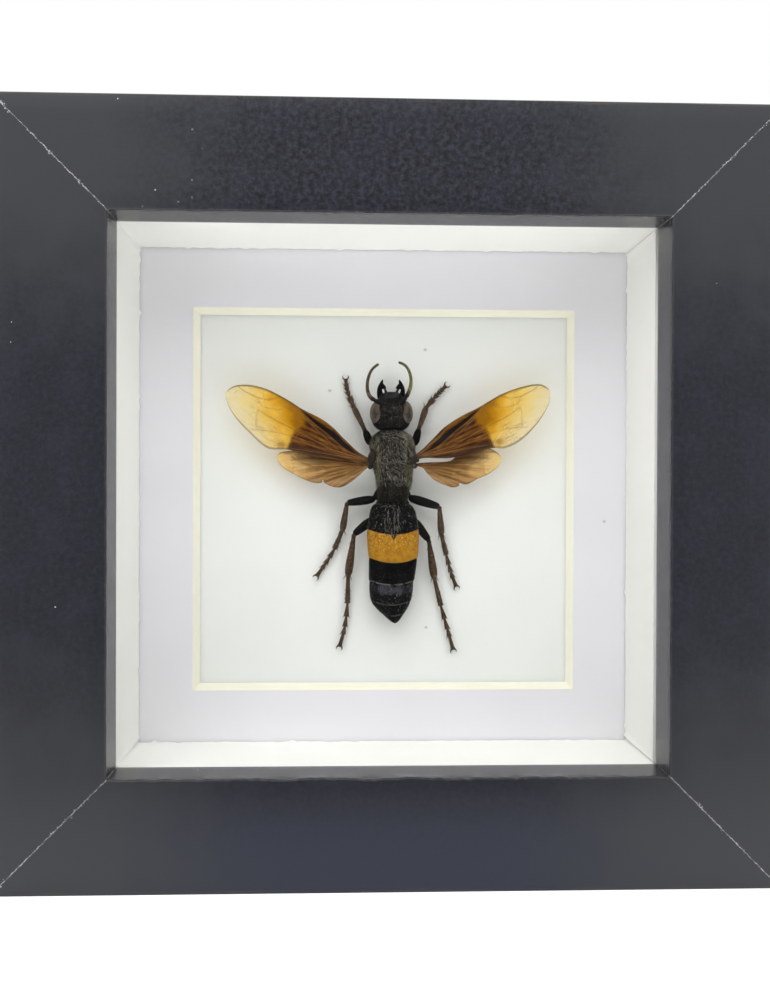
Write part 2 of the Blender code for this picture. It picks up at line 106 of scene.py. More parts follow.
FRAME_HALF = (CAD_BOX[1].x - CAD_BOX[0].x) / 2 / MM
FRAME_DEPTH = (CAD_BOX[1].y - CAD_BOX[0].y) / MM
FRAME_MIDDLE = (CAD_BOX[1].z + CAD_BOX[0].z) / 2 / MM
BOARD_FRONT = depth_of("backing_board")[0]


def place(x: float, depth: float, up: float) -> Vector:
    """A point of the frame in millimetres, from its offset right, its depth and its offset up."""
    return Vector((x, depth - FRAME_DEPTH / 2, FRAME_MIDDLE + up))


def plan(x: float, y: float, height: float) -> Vector:
    """A point of the wasp in millimetres, from its plan position and its height off the board."""
    return place(x, BOARD_FRONT - height, y)


def shaded(colour: Colour, share: float) -> Colour:
    """A colour made darker, or lighter where the share is above 1."""
    return tuple(part * share for part in colour)


def smooth(value: float, low: float, high: float) -> float:
    """A soft step from 0 at low to 1 at high."""
    share = min(max((value - low) / (high - low), 0.0), 1.0)
    return share * share * (3 - 2 * share)


def mix(a: float, b: float, share: float) -> float:
    """The value that share of the way from a to b."""
    return a + (b - a) * share


def line(*thousandths: int) -> Line:
    """A row of pairs, written one number after the other in thousandths."""
    return tuple((a / 1000, b / 1000) for a, b in zip(thousandths[::2], thousandths[1::2]))


class Side(Enum):
    """A side of the frame, with its turn from the bottom, seen from the front."""

    BOTTOM = 0.0
    RIGHT = 90.0
    TOP = 180.0
    LEFT = 270.0

    @property
    def turn(self) -> Matrix:
        """The turn about the frame's centre that brings a bottom piece to this side."""
        centre = Matrix.Translation(place(0, 0, 0))
        return centre @ Matrix.Rotation(math.radians(-self.value), 4, "Y") @ centre.inverted()

    @property
    def turns(self) -> int:
        """How many quarter turns lie between the bottom and this side."""
        return round(self.value / 90.0)

    @property
    def word(self) -> str:
        """The side's name as it stands in the names of pieces."""
        return self.name.lower()


class Graph:
    """Adds and links nodes in one material's or one group's tree."""

    def __init__(self, tree: bpy.types.NodeTree) -> None:
        """Keep the tree that nodes are added to."""
        self.tree = tree

    def add(self, kind: str, inputs: dict[Key, Source] | None = None, **settings: Any) -> Node:
        """Add a node.

        Args:
            kind: the node's type name without its ShaderNode prefix.
            inputs: a value or a source for each named or numbered input.
            **settings: the node's own properties.

        Returns:
            The new node.
        """
        node = self.tree.nodes.new("ShaderNode" + kind)
        for name, value in settings.items():
            setattr(node, name, value)
        for name, value in (inputs or {}).items():
            self.feed(node.inputs[name], value)
        return node

    def feed(self, socket: NodeSocket, value: Source) -> None:
        """Link a source to an input, or set the input's own value.

        Args:
            socket: the input.
            value: the source, or the value.
        """
        if isinstance(value, Wire):
            self.tree.links.new(value.socket, socket)
        elif isinstance(value, tuple) and socket.type == "RGBA":
            socket.default_value = (*value, 1.0)
        else:
            socket.default_value = value

    def value(self, kind: str, inputs: dict[Key, Source] | None = None, output: Key = 0,
            **settings: Any) -> Wire:
        """Add a node as add() does, and take one of its outputs."""
        return Wire(self, self.add(kind, inputs, **settings).outputs[output])

    def math(self, operation: str, a: Source, b: Source = 0.0) -> Wire:
        """The result of one sum, with its operation as Blender names it."""
        return self.value("Math", {0: a, 1: b}, operation=operation)

    def blend(self, share: Source, a: Source, b: Source) -> Wire:
        """Two colours blended by a share."""
        return self.value("Mix", {0: share, 6: a, 7: b}, 2, data_type="RGBA")

    def attribute(self, name: str) -> Wire:
        """A number that the mesh carries on its points."""
        return self.value("Attribute", {}, "Fac", attribute_name=name)

    def place_mm(self) -> Wire:
        """The surface's place in millimetres: x right, y its depth and z up from the centre.

        Returns:
            The place.
        """
        where = self.value("TexCoord", {}, "Object")
        return self.value("Mapping", {"Vector": where, "Scale": (1 / MM,) * 3,
            "Location": (0.0, FRAME_DEPTH / 2, -FRAME_MIDDLE)})

    def group(self, tree: bpy.types.NodeTree, **inputs: Source) -> list[Wire]:
        """Place a node group, with spaces for the underscores of its inputs' names.

        Args:
            tree: the group's tree.
            **inputs: a value or a source for each of its inputs.

        Returns:
            What comes out of each output.
        """
        node = self.tree.nodes.new("ShaderNodeGroup")
        node.node_tree = tree
        for name, value in inputs.items():
            self.feed(node.inputs[name.replace("_", " ")], value)
        return [Wire(self, socket) for socket in node.outputs]


class Wire:
    """A value, a colour or a place that comes out of a node, to reckon with as with a number."""

    def __init__(self, graph: Graph, socket: NodeSocket) -> None:
        """Keep the graph and the node's output."""
        self.graph = graph
        self.socket = socket

    def __add__(self, other: Source) -> Wire:
        """The sum."""
        return self.graph.math("ADD", self, other)

    def __sub__(self, other: Source) -> Wire:
        """The difference."""
        return self.graph.math("SUBTRACT", self, other)

    def __rsub__(self, other: float) -> Wire:
        """What a number leaves over this value."""
        return self.graph.math("SUBTRACT", other, self)

    def __mul__(self, other: Source) -> Wire:
        """The product."""
        return self.graph.math("MULTIPLY", self, other)

    def __truediv__(self, other: Source) -> Wire:
        """The quotient."""
        return self.graph.math("DIVIDE", self, other)

    def __abs__(self) -> Wire:
        """The value without its sign."""
        return self.graph.math("ABSOLUTE", self)

    def most(self, other: Source) -> Wire:
        """The greater of two values."""
        return self.graph.math("MAXIMUM", self, other)

    def least(self, other: Source) -> Wire:
        """The smaller of two values."""
        return self.graph.math("MINIMUM", self, other)

    def span(self, low: float, high: float, to_low: float = 0.0, to_high: float = 1.0,
            soft: bool = True) -> Wire:
        """Map this value's range to another one.

        Args:
            low: where the range starts.
            high: where it ends.
            to_low: the result at low.
            to_high: the result at high.
            soft: whether the result eases in and out.

        Returns:
            The mapped value, kept within its range.
        """
        kind = "SMOOTHSTEP" if soft else "LINEAR"
        inputs = {"Value": self, "From Min": low, "From Max": high, "To Min": to_low, "To Max": to_high}
        return self.graph.value("MapRange", inputs, interpolation_type=kind)

    def drift(self, size: float) -> Wire:
        """Cloudy noise from 0 to 1 turned into a shift of up to a size either way."""
        return self.span(0.3, 0.7, -size, size, soft=False)

    def covered(self, share: Source, colour: Source) -> Wire:
        """This colour, covered by another one as far as a share says."""
        return self.graph.blend(share, self, colour)

    def ramp(self, stops: Sequence[tuple[float, Colour]]) -> Wire:
        """A colour read off a row of (position, colour) stops.

        Args:
            stops: the positions and their colours.

        Returns:
            The colour.
        """
        node = self.graph.add("ValToRGB", {0: self})
        band = node.color_ramp
        while len(band.elements) < len(stops):
            band.elements.new(0.5)
        for element, (position, colour) in zip(band.elements, stops):
            element.position = position
            element.color = (*colour, 1.0)
        return Wire(self.graph, node.outputs[0])

    def split(self) -> list[Wire]:
        """The three parts of this place or colour."""
        node = self.graph.add("SeparateXYZ", {0: self})
        return [Wire(self.graph, socket) for socket in node.outputs]

    def stretched(self, by: Wire) -> Wire:
        """This place, stretched along each axis."""
        return self.graph.value("VectorMath", {0: self, 1: by}, operation="MULTIPLY")

    def moved(self, by: Wire) -> Wire:
        """This place, moved along each axis."""
        return self.graph.value("VectorMath", {0: self, 1: by}, operation="ADD")

    def length(self) -> Wire:
        """This place's distance from the origin."""
        return self.graph.value("VectorMath", {0: self}, 1, operation="LENGTH")

    def noise(self, scale: Source, detail: float = 3.0, roughness: float = 0.55) -> Wire:
        """Cloudy noise from 0 to 1 at this place."""
        inputs = {"Vector": self, "Scale": scale, "Detail": detail, "Roughness": roughness}
        return self.graph.value("TexNoise", inputs)

    def specks(self, scale: float, size: float, amount: float) -> Wire:
        """The mask of small scattered specks at this place."""
        return self.graph.group(Speckle.tree(), Place=self, Scale=scale, Size=size, Amount=amount)[0]

    def streaks(self, stretch: Point) -> Wire:
        """The mask of drawn-out streaks at this place."""
        return self.graph.group(LongGrain.tree(), Place=self, Stretch=stretch)[0]

    def surface(self, fine: float, broad: float) -> list[Wire]:
        """A fine height and a slow tone at this place, at two scales."""
        return self.graph.group(FineSurface.tree(), Place=self, Fine_Scale=fine, Broad_Scale=broad)

    def bump(self, distance: float, under: Wire | None = None) -> Wire:
        """A normal bumped by this height, whose 1 stands for a distance in millimetres.

        Args:
            distance: the real height of 1.
            under: the normal below it, or None for the surface's own.

        Returns:
            The new normal.
        """
        inputs: dict[Key, Source] = {"Height": self, "Distance": distance * MM}
        if under:
            inputs["Normal"] = under
        return self.graph.value("Bump", inputs)


class EffectGroup:
    """A shader node group with named inputs and outputs, built on first use."""

    title = ""
    inputs: dict[str, Source] = {}
    outputs: tuple[str, ...] = ("Mask",)
    _built: dict[str, bpy.types.NodeTree] = {}

    @classmethod
    def tree(cls) -> bpy.types.NodeTree:
        """The group's tree, made once for all the materials.

        Returns:
            The tree.
        """
        if cls.title not in EffectGroup._built:
            tree = bpy.data.node_groups.new(cls.title, "ShaderNodeTree")
            for name, default in cls.inputs.items():
                kind = "NodeSocketVector" if isinstance(default, tuple) else "NodeSocketFloat"
                socket = tree.interface.new_socket(name, in_out="INPUT", socket_type=kind)
                socket.default_value = default
            for name in cls.outputs:
                tree.interface.new_socket(name, in_out="OUTPUT", socket_type="NodeSocketFloat")
            graph = Graph(tree)
            enter = tree.nodes.new("NodeGroupInput").outputs
            leave = tree.nodes.new("NodeGroupOutput").inputs
            made = cls.build(graph, {name: Wire(graph, enter[name]) for name in cls.inputs})
            for name, source in zip(cls.outputs, made):
                graph.feed(leave[name], source)
            EffectGroup._built[cls.title] = tree
        return EffectGroup._built[cls.title]

    @classmethod
    def build(cls, graph: Graph, enter: dict[str, Wire]) -> tuple[Wire, ...]:
        """Build the nodes between the inputs and the outputs.

        Args:
            graph: the group's graph.
            enter: the group's inputs by name.

        Returns:
            What goes to each output.
        """
        raise NotImplementedError


class Speckle(EffectGroup):
    """Small scattered specks, such as dust or pores."""

    title = "speckle"
    inputs = {"Place": (0.0, 0.0, 0.0), "Scale": 1.0, "Size": 0.1, "Amount": 0.5}

    @classmethod
    def build(cls, graph: Graph, enter: dict[str, Wire]) -> tuple[Wire, ...]:
        """Round specks about random points, some of them left out.

        Args:
            graph: the group's graph.
            enter: the group's inputs by name.

        Returns:
            The mask of specks.
        """
        cells = graph.add("TexVoronoi", {"Vector": enter["Place"], "Scale": enter["Scale"]})
        chance = Wire(graph, cells.outputs["Color"]).split()[0]
        away = Wire(graph, cells.outputs["Distance"])
        near = graph.math("LESS_THAN", away, enter["Size"] * (chance + 0.4))
        return (near * graph.math("LESS_THAN", chance, enter["Amount"]),)


class FineSurface(EffectGroup):
    """Two sizes of fine unevenness, as a height and a slow change of tone."""

    title = "fine_surface"
    inputs = {"Place": (0.0, 0.0, 0.0), "Fine Scale": 8.0, "Broad Scale": 0.2}
    outputs = ("Height", "Tone")

    @classmethod
    def build(cls, graph: Graph, enter: dict[str, Wire]) -> tuple[Wire, ...]:
        """Fine noise for the height and broad noise for the tone.

        Args:
            graph: the group's graph.
            enter: the group's inputs by name.

        Returns:
            The height and the tone.
        """
        where = enter["Place"]
        return where.noise(enter["Fine Scale"], 4.0, 0.65), where.noise(enter["Broad Scale"], 2.0)


class LongGrain(EffectGroup):
    """Streaks drawn out along one direction, such as wood grain or brushed metal."""

    title = "long_grain"
    inputs = {"Place": (0.0, 0.0, 0.0), "Stretch": (1.0, 1.0, 1.0)}

    @classmethod
    def build(cls, graph: Graph, enter: dict[str, Wire]) -> tuple[Wire, ...]:
        """Noise in stretched space.

        Args:
            graph: the group's graph.
            enter: the group's inputs by name.

        Returns:
            The mask of streaks.
        """
        return (enter["Place"].stretched(enter["Stretch"]).noise(1.0, 4.0, 0.6),)


class Look(Graph):
    """The graph of one new material, about its Principled shader."""

    def __init__(self, name: str) -> None:
        """Start a material of a name.

        Args:
            name: the material's name.
        """
        self.material = bpy.data.materials.new(name)
        self.material.use_nodes = True
        super().__init__(self.material.node_tree)
        self.shader = self.tree.nodes["Principled BSDF"]

    def finish(self, **inputs: Source) -> Material:
        """Set or link the shader's inputs, with spaces for the underscores of their names.

        Args:
            **inputs: a value or a source for each input.

        Returns:
            The finished material.
        """
        for name, value in inputs.items():
            self.feed(self.shader.inputs[name.replace("_", " ")], value)
        return self.material

    def mix_out(self, share: Source, first: Node, second: Node) -> None:
        """Send two shaders, mixed by a share, to the material's output.

        Args:
            share: how much of the second there is.
            first: the first shader.
            second: the second shader.
        """
        both = self.add("MixShader", {0: share, 1: Wire(self, first.outputs[0]),
            2: Wire(self, second.outputs[0])})
        out = next(node for node in self.tree.nodes if node.type == "OUTPUT_MATERIAL")
        self.tree.links.new(both.outputs[0], out.inputs["Surface"])


@dataclass(frozen=True)
class PaintFinish:
    """Satin black paint on a wooden moulding, chipped pale along the mitres, with a painted reflection of
    the floor on the bottom rail.
    """

    name: str = "black_moulding_paint"
    black: Colour = (0.0085, 0.0092, 0.0138)
    rubbed: Colour = (0.05, 0.043, 0.036)
    filler: Colour = (0.47, 0.47, 0.47)
    dust: Colour = (0.52, 0.52, 0.5)
    corner_grey: Colour = (0.0242, 0.0252, 0.0285)
    lip_half: float = 53.4
    blue_reflection_and_tone: Colour = (0.014, 0.0168, 0.03)
    mitre_line: float = 0.15
    face_roughness: float = 0.42
    lip_roughness: float = 0.25

    def build(self) -> Material:
        """The paint's material.

        Returns:
            The finished material.
        """
        graph = Look(self.name)
        where = graph.place_mm()
        x, depth, up = where.split()
        across, along = abs(x), abs(up)
        reach = across.most(along)
        fine, tone = where.surface(1.6, 0.12)
        grain = self.grain(graph, where, across, along)
        off_mitre = abs(across - along + where.noise(1.5, 4.0, 0.75).drift(0.2))
        ragged = where.noise(3.2, 4.0, 0.8) * 0.7
        line = 1.0 - (off_mitre + ragged - 0.32).span(self.mitre_line * 0.45, self.mitre_line)
        line = line * where.noise(0.9, 3.0).span(0.4, 0.56, 0.35, 1.0)
        chips = where.specks(1.6, 0.34, 0.7)
        beside = (off_mitre + where.noise(0.3, 1.0) * 2.4).span(1.2, 1.8, 0.52, 0.0)
        line = line.most(chips * beside)
        rubbed = reach.span(FRAME_HALF - 0.9, FRAME_HALF - 0.15) * grain.span(0.46, 0.66)
        lip_edge = abs(reach - self.lip_half)
        lip_rub = lip_edge.span(0.15, 0.55, 1.0, 0.0) * where.noise(1.1).span(0.52, 0.68, 0.0, 0.5)
        rubbed = rubbed.most(lip_rub)
        dust = self.specks(where, x, up)
        mottle = self.mottle(where, up)
        base = mottle.ramp([(0.0, shaded(self.black, 0.25)), (0.5, self.black),
            (1.0, shaded(self.black, 2.1))])
        # painted reflection: the bottom rail is painted bluer and paler, as if the pale floor showed in its
        # satin face; slow random tone adds a little of the same blue anywhere
        floor_reflection = up.span(-66.0, -52.0, 1.0, 0.0) * mottle.span(0.1, 0.9, 0.75, 1.0)
        base = base.covered(floor_reflection.most(tone.span(0.48, 0.66) * 0.22), self.blue_reflection_and_tone)
        # the face is painted a paler grey towards the frame's corners
        corner = across.least(along) + tone.drift(4.0)
        base = base.covered(corner.span(20.0, 58.0, 0.0, 0.95), self.corner_grey).covered(rubbed,
            self.rubbed).covered(line, self.filler).covered(dust, self.dust)
        in_lip = depth.span(0.5, 0.9) * reach.span(54.0, 55.0, 1.0, 0.0)
        calm = in_lip.span(0.0, 1.0, 1.0, 0.12)
        gloss = fine.span(0.3, 0.7, -0.03, 0.05) * calm + in_lip.span(0.0, 1.0, self.face_roughness,
            self.lip_roughness)
        rough = gloss.most(line * 0.8)
        normal = (grain * calm).bump(0.012)
        normal = (fine * calm).bump(0.012, under=normal)
        return graph.finish(Base_Color=base, Roughness=rough, Specular_IOR_Level=0.295, Normal=normal)

    def mottle(self, where: Wire, up: Wire) -> Wire:
        """The paint's fine mottled tone, strongest on the top rail.

        Args:
            where: the place in millimetres.
            up: the offset up.

        Returns:
            The tone, about a half.
        """
        return (where.noise(0.95, 5.0, 0.72) - 0.5) * 4.6 * up.span(50.0, 56.0, 0.3, 1.0) + 0.5

    def grain(self, graph: Graph, where: Wire, across: Wire, along: Wire) -> Wire:
        """Faint wood grain that runs along each rail.

        Args:
            graph: the material's graph.
            where: the place in millimetres.
            across: the distance from the middle, sideways.
            along: the distance from the middle, upwards.

        Returns:
            The mask of grain.
        """
        level = where.streaks((0.06, 1.6, 1.6))
        upright = where.streaks((1.6, 1.6, 0.06))
        on_side = graph.math("GREATER_THAN", across, along)
        return graph.value("Mix", {0: on_side, 2: level, 3: upright})

    def specks(self, where: Wire, x: Wire, up: Wire) -> Wire:
        """Dust specks, most of them on the top left of the face, and a few chips.

        Args:
            where: the place in millimetres.
            x: the offset right.
            up: the offset up.

        Returns:
            The mask of specks.
        """
        thick = where.specks(0.46, 0.085, 0.75)
        thin = where.specks(0.15, 0.03, 0.62)
        corner = x.span(-44.0, -34.0, 1.0, 0.0) * (up.span(52.0, 58.0) * x.span(-60.0, -54.0))
        return (thick * corner).most(thin) * 0.55


@dataclass(frozen=True)
class GlassFinish:
    """Clear picture glass with a very little dust."""

    name: str = "picture_glass"
    tint: Colour = (0.985, 0.995, 0.99)
    clear: float = 0.0
    dusty: float = 0.25
    shine: float = 0.22
    ior: float = 1.5

    def build(self) -> Material:
        """The glass's material, which lets straight light through to what it covers.

        Returns:
            The finished material.
        """
        graph = Look(self.name)
        where = graph.place_mm()
        rough = where.specks(0.11, 0.016, 0.5).span(0.0, 1.0, self.clear, self.dusty, soft=False)
        in_shadow = graph.value("LightPath", {}, "Is Shadow Ray")
        graph.mix_out(in_shadow, graph.shader, graph.add("BsdfTransparent", {"Color": self.tint}))
        return graph.finish(Base_Color=self.tint, Roughness=rough, IOR=self.ior, Transmission_Weight=1.0,
            Specular_IOR_Level=self.shine)


@dataclass(frozen=True)
class CardFinish:
    """White card or paper with a fine tooth and a faint, slow change of tone."""

    name: str
    white: Colour
    shade: Colour
    speck: Colour = (0.45, 0.42, 0.36)
    tooth: float = 5.0
    tooth_height: float = 0.01
    specks: float = 0.12
    roughness: float = 0.82
    spots: Line = ()

    def colour(self, graph: Graph, where: Wire) -> tuple[Wire, Wire]:
        """The card's colour and its fine height.

        Args:
            graph: the material's graph.
            where: the place in millimetres.

        Returns:
            The colour and the height.
        """
        fine, tone = where.surface(self.tooth, 0.045)
        base = graph.blend(tone.span(0.3, 0.7), self.white, self.shade)
        base = base.covered(where.specks(0.13, 0.022, self.specks) * 0.6, self.speck)
        for x, up in self.spots:
            away = where.moved((-x, 0.0, -up)).stretched((0.8, 0.0, 1.0)).length()
            base = base.covered(away.span(0.12, 0.42, 0.72, 0.0), self.speck)
        return base, fine

    def build(self) -> Material:
        """The card's material.

        Returns:
            The finished material.
        """
        graph = Look(self.name)
        base, height = self.colour(graph, graph.place_mm())
        return graph.finish(Base_Color=base, Roughness=height.span(0.3, 0.7, self.roughness - 0.06,
            self.roughness), Normal=height.bump(self.tooth_height))


@dataclass(frozen=True)
class MatFinish(CardFinish):
    """Mat board: a coloured paper face, and a pale core that shows on the window's bevel."""

    core: Colour = (0.93, 0.905, 0.77)
    core_shade: Colour = (0.86, 0.82, 0.66)
    window_half: float = 40.56
    window_drop: float = 1.04

    def build(self) -> Material:
        """The mat's material.

        Returns:
            The finished material.
        """
        graph = Look(self.name)
        where = graph.place_mm()
        base, height = self.colour(graph, where)
        x, _, up = where.split()
        reach = abs(x).most(abs(up + self.window_drop))
        cut = graph.math("LESS_THAN", reach + where.noise(1.8, 3.0).drift(0.05), self.window_half)
        layers = where.streaks((0.4, 9.0, 0.4))
        core = graph.blend(layers.span(0.4, 0.75), self.core, self.core_shade)
        return graph.finish(Base_Color=base.covered(cut, core), Roughness=self.roughness,
            Normal=height.bump(self.tooth_height))


@dataclass(frozen=True)
class FibreboardFinish:
    """Brown pressed fibreboard."""

    name: str = "brown_fibreboard"
    dark: Colour = (0.17, 0.095, 0.045)
    light: Colour = (0.38, 0.245, 0.135)
    roughness: float = 0.78

    def build(self) -> Material:
        """The board's material.

        Returns:
            The finished material.
        """
        graph = Look(self.name)
        where = graph.place_mm()
        fibres = (where.streaks((0.5, 2.0, 3.2)) + where.streaks((3.0, 2.0, 0.6))) * 0.5
        cloud = where.noise(0.09, 3.0)
        tone = fibres.span(0.36, 0.64, 0.0, 0.75) + cloud.span(0.35, 0.65, 0.0, 0.25)
        flecks = where.specks(0.5, 0.12, 0.25)
        base = tone.ramp([(0.0, self.dark), (0.55, (0.27, 0.165, 0.085)), (1.0, self.light)])
        base = base.covered(flecks * 0.5, self.dark)
        return graph.finish(Base_Color=base, Roughness=self.roughness, Normal=fibres.bump(0.06))


@dataclass(frozen=True)
class MetalFinish:
    """Pressed sheet metal with rolling marks and a little tarnish."""

    name: str
    bright: Colour
    tarnish: Colour
    roughness: float = 0.32
    drawn: Point = (0.25, 5.0, 5.0)

    def build(self) -> Material:
        """The metal's material.

        Returns:
            The finished material.
        """
        graph = Look(self.name)
        where = graph.place_mm()
        marks = where.streaks(self.drawn)
        spots = where.surface(3.0, 0.5)[1].span(0.5, 0.72)
        base = graph.blend(spots * 0.7, self.bright, self.tarnish)
        rough = marks.span(0.3, 0.7, -0.06, 0.08) + spots.span(0.0, 1.0, self.roughness,
            self.roughness + 0.22)
        return graph.finish(Base_Color=base, Metallic=1.0, Roughness=rough, Normal=marks.bump(0.006))


@dataclass(frozen=True)
class GlueFinish:
    """A dried dab of clear yellowish glue."""

    name: str = "dried_glue"
    clear: Colour = (0.72, 0.62, 0.42)
    cloudy: Colour = (0.82, 0.77, 0.62)

    def build(self) -> Material:
        """The glue's material.

        Returns:
            The finished material.
        """
        graph = Look(self.name)
        fine, tone = graph.place_mm().surface(2.0, 0.8)
        base = graph.blend(tone.span(0.35, 0.65), self.clear, self.cloudy)
        return graph.finish(Base_Color=base, Roughness=0.22, Coat_Weight=0.4, Normal=fine.bump(0.05))


def extrude_to(bm: BMesh, face: BMFace, move: Vector | Matrix) -> BMFace:
    """Extrude a face and move its new end.

    Args:
        bm: the mesh.
        face: the end to extrude, which is deleted where it would lie inside.
        move: the way that the new end goes, or the matrix that places it.

    Returns:
        The new end.
    """
    inside = any(len(edge.link_faces) > 1 for edge in face.edges)
    made = bmesh.ops.extrude_face_region(bm, geom=[face])["geom"]
    if inside:
        bmesh.ops.delete(bm, geom=[face], context="FACES_ONLY")
    verts = points_in(made)
    if isinstance(move, Matrix):
        bmesh.ops.transform(bm, matrix=move, verts=verts)
    else:
        bmesh.ops.translate(bm, vec=move, verts=verts)
    return next(item for item in made if isinstance(item, BMFace))


def draw_mitred(bm: BMesh, end: BMFace, steps: int, joint: float) -> None:
    """Draw a section at -1 out to 1, then stretch it so that both ends follow the mitres.

    Args:
        bm: the mesh, with the section alone in it.
        end: the section.
        steps: how many steps to draw it out in.
        joint: how much is taken off at each mitre, in millimetres.
    """
    for _ in range(steps):
        end = extrude_to(bm, end, Vector((2.0 / steps, 0, 0)))
    for vert in bm.verts:
        vert.co.x *= FRAME_MIDDLE - vert.co.z - joint


def soften(bm: BMesh, edges: Iterable[BMEdge], width: float, segments: int = 2) -> None:
    """Round edges with a bevel of a width in millimetres."""
    bmesh.ops.bevel(bm, geom=list(edges), offset=width, offset_type="OFFSET", segments=segments,
        profile=0.5, affect="EDGES", material=-1, clamp_overlap=True)


def sharp_edges(bm: BMesh, degrees: float) -> list[BMEdge]:
    """The edges that turn by more than an angle."""
    limit = math.radians(degrees)
    return [edge for edge in bm.edges if len(edge.link_faces) == 2 and edge.calc_face_angle(0.0) > limit]


def points_in(made: Sequence[Any]) -> list[BMVert]:
    """The points among the parts that an operator has made."""
    return [item for item in made if isinstance(item, BMVert)]


def to_mesh(name: str, bm: BMesh) -> bpy.types.Mesh:
    """Turn a worked mesh into a named one, and free it.

    Args:
        name: the new mesh's name.
        bm: the worked mesh.

    Returns:
        The named mesh.
    """
    mesh = bpy.data.meshes.new(name)
    bm.to_mesh(mesh)
    bm.free()
    return mesh


def add_object(name: str, data: bpy.types.ID) -> bpy.types.Object:
    """Put a named object with its data into the scene.

    Args:
        name: the object's name.
        data: its mesh, light or camera.

    Returns:
        The object.
    """
    made = bpy.data.objects.new(name, data)
    bpy.context.scene.collection.objects.link(made)
    return made


def finish_piece(name: str, bm: BMesh, material: Material, nodes: Sequence[str],
        smooth_degrees: float | None, merge: float = 0.0002, recalculate: bool = True) -> None:
    """Turn a mesh in millimetres into a named piece in metres.

    Args:
        name: the piece's name.
        bm: the mesh, which is freed.
        material: the piece's material.
        nodes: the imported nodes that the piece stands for.
        smooth_degrees: edges that turn less than this are smooth, or None for flat faces.
        merge: points nearer than this are merged, in millimetres; 0 keeps them all.
        recalculate: whether to turn all the faces outwards.
    """
    if merge:
        bmesh.ops.remove_doubles(bm, verts=bm.verts, dist=merge)
    if recalculate:
        bmesh.ops.recalc_face_normals(bm, faces=bm.faces)
    bmesh.ops.scale(bm, vec=(MM, MM, MM), verts=bm.verts)
    mesh = to_mesh(name, bm)
    mesh.materials.append(material)
    if smooth_degrees is not None:
        mesh.shade_smooth()
        mesh.set_sharp_from_angle(angle=math.radians(smooth_degrees))
    piece = add_object(name, mesh)
    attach(piece, "root")
    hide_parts(*nodes)
    LOG.info("%s: %d faces", name, len(mesh.polygons))


def dress(node: str, material: Material) -> None:
    """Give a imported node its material.

    Args:
        node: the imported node's name.
        material: its material.
    """
    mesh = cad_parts[node].data
    mesh.materials.clear()
    mesh.materials.append(material)
    LOG.info("%s: packed shape kept", node)


@dataclass
class Moulding:
    """The four mitred rails of the frame, with a rounded lip in front and a rabbet behind."""

    lip_front: float = 53.4
    lip_back: float = 53.1
    lip_depth: float = 10.0
    rabbet: float = 58.0
    joint: float = 0.03
    edge_round: float = 0.32
    steps_along: int = 150
    ragged: dict[Side, float] = field(default_factory=lambda: {Side.BOTTOM: 0.38, Side.RIGHT: 0.12,
        Side.TOP: 0.12, Side.LEFT: 0.07})
    finish: PaintFinish = PaintFinish()

    def profile(self) -> list[Plan]:
        """The moulding's section as (distance from the centre, depth), from the outer front."""
        return [(FRAME_HALF, 0.0), (self.lip_front, 0.0), (self.lip_back, self.lip_depth),
            (self.rabbet, self.lip_depth), (self.rabbet, FRAME_DEPTH), (FRAME_HALF, FRAME_DEPTH)]

    def section(self, bm: BMesh) -> BMFace:
        """The section as a face at one end, with its outer and lip edges rounded.

        Args:
            bm: the mesh to build in.

        Returns:
            The face.
        """
        corners = [bm.verts.new(place(0.0, depth, -reach)) for reach, depth in self.profile()]
        bm.faces.new(corners)
        bm.verts.ensure_lookup_table()
        soft = [corners[i] for i in (0, 1, 2, 5)]
        bmesh.ops.bevel(bm, geom=soft, offset=self.edge_round, offset_type="OFFSET", segments=4,
            profile=0.5, affect="VERTICES", material=-1)
        long_edges = [edge for edge in bm.edges if edge.calc_length() > 6.0]
        bmesh.ops.subdivide_edges(bm, edges=long_edges, cuts=5)
        return next(iter(bm.faces))

    def rail(self, side: Side) -> BMesh:
        """One rail, straight across and cut at 45 degrees at both ends.

        Args:
            side: the side of the frame.

        Returns:
            The rail's mesh.
        """
        bm = bmesh.new()
        end = self.section(bm)
        for vert in bm.verts:
            vert.co.x = -1.0
        draw_mitred(bm, end, self.steps_along, self.joint)
        self.wear_lip(bm, side)
        bmesh.ops.transform(bm, matrix=side.turn, verts=bm.verts)
        return bm

    def wear_lip(self, bm: BMesh, side: Side) -> None:
        """Make the lip's front edge a little ragged, as the real moulding's is.

        Args:
            bm: the rail's mesh, still at the bottom.
            side: the side that the rail is for.
        """
        for vert in bm.verts:
            depth = vert.co.y + FRAME_DEPTH / 2
            reach = FRAME_MIDDLE - vert.co.z
            near = smooth(3.0 - math.hypot(depth, reach - self.lip_front), 0.0, 3.0)
            if near <= 0 or depth > 4.0:
                continue
            wave = noise.noise(Vector((vert.co.x * 0.12, side.value, 0.0)))
            chip = noise.noise(Vector((vert.co.x * 0.9, side.value + 5.0, reach * 0.8)))
            shift = self.ragged[side] * near * (0.8 * wave + 0.75 * chip)
            vert.co.z += shift
            vert.co.y += abs(chip) * 0.12 * near

    def build(self) -> None:
        """Build and dress the four rails."""
        paint = self.finish.build()
        for side in Side:
            finish_piece(f"painted_rail_{side.word}", self.rail(side), paint,
                [f"frame_rail_{side.word}"], 50.0)


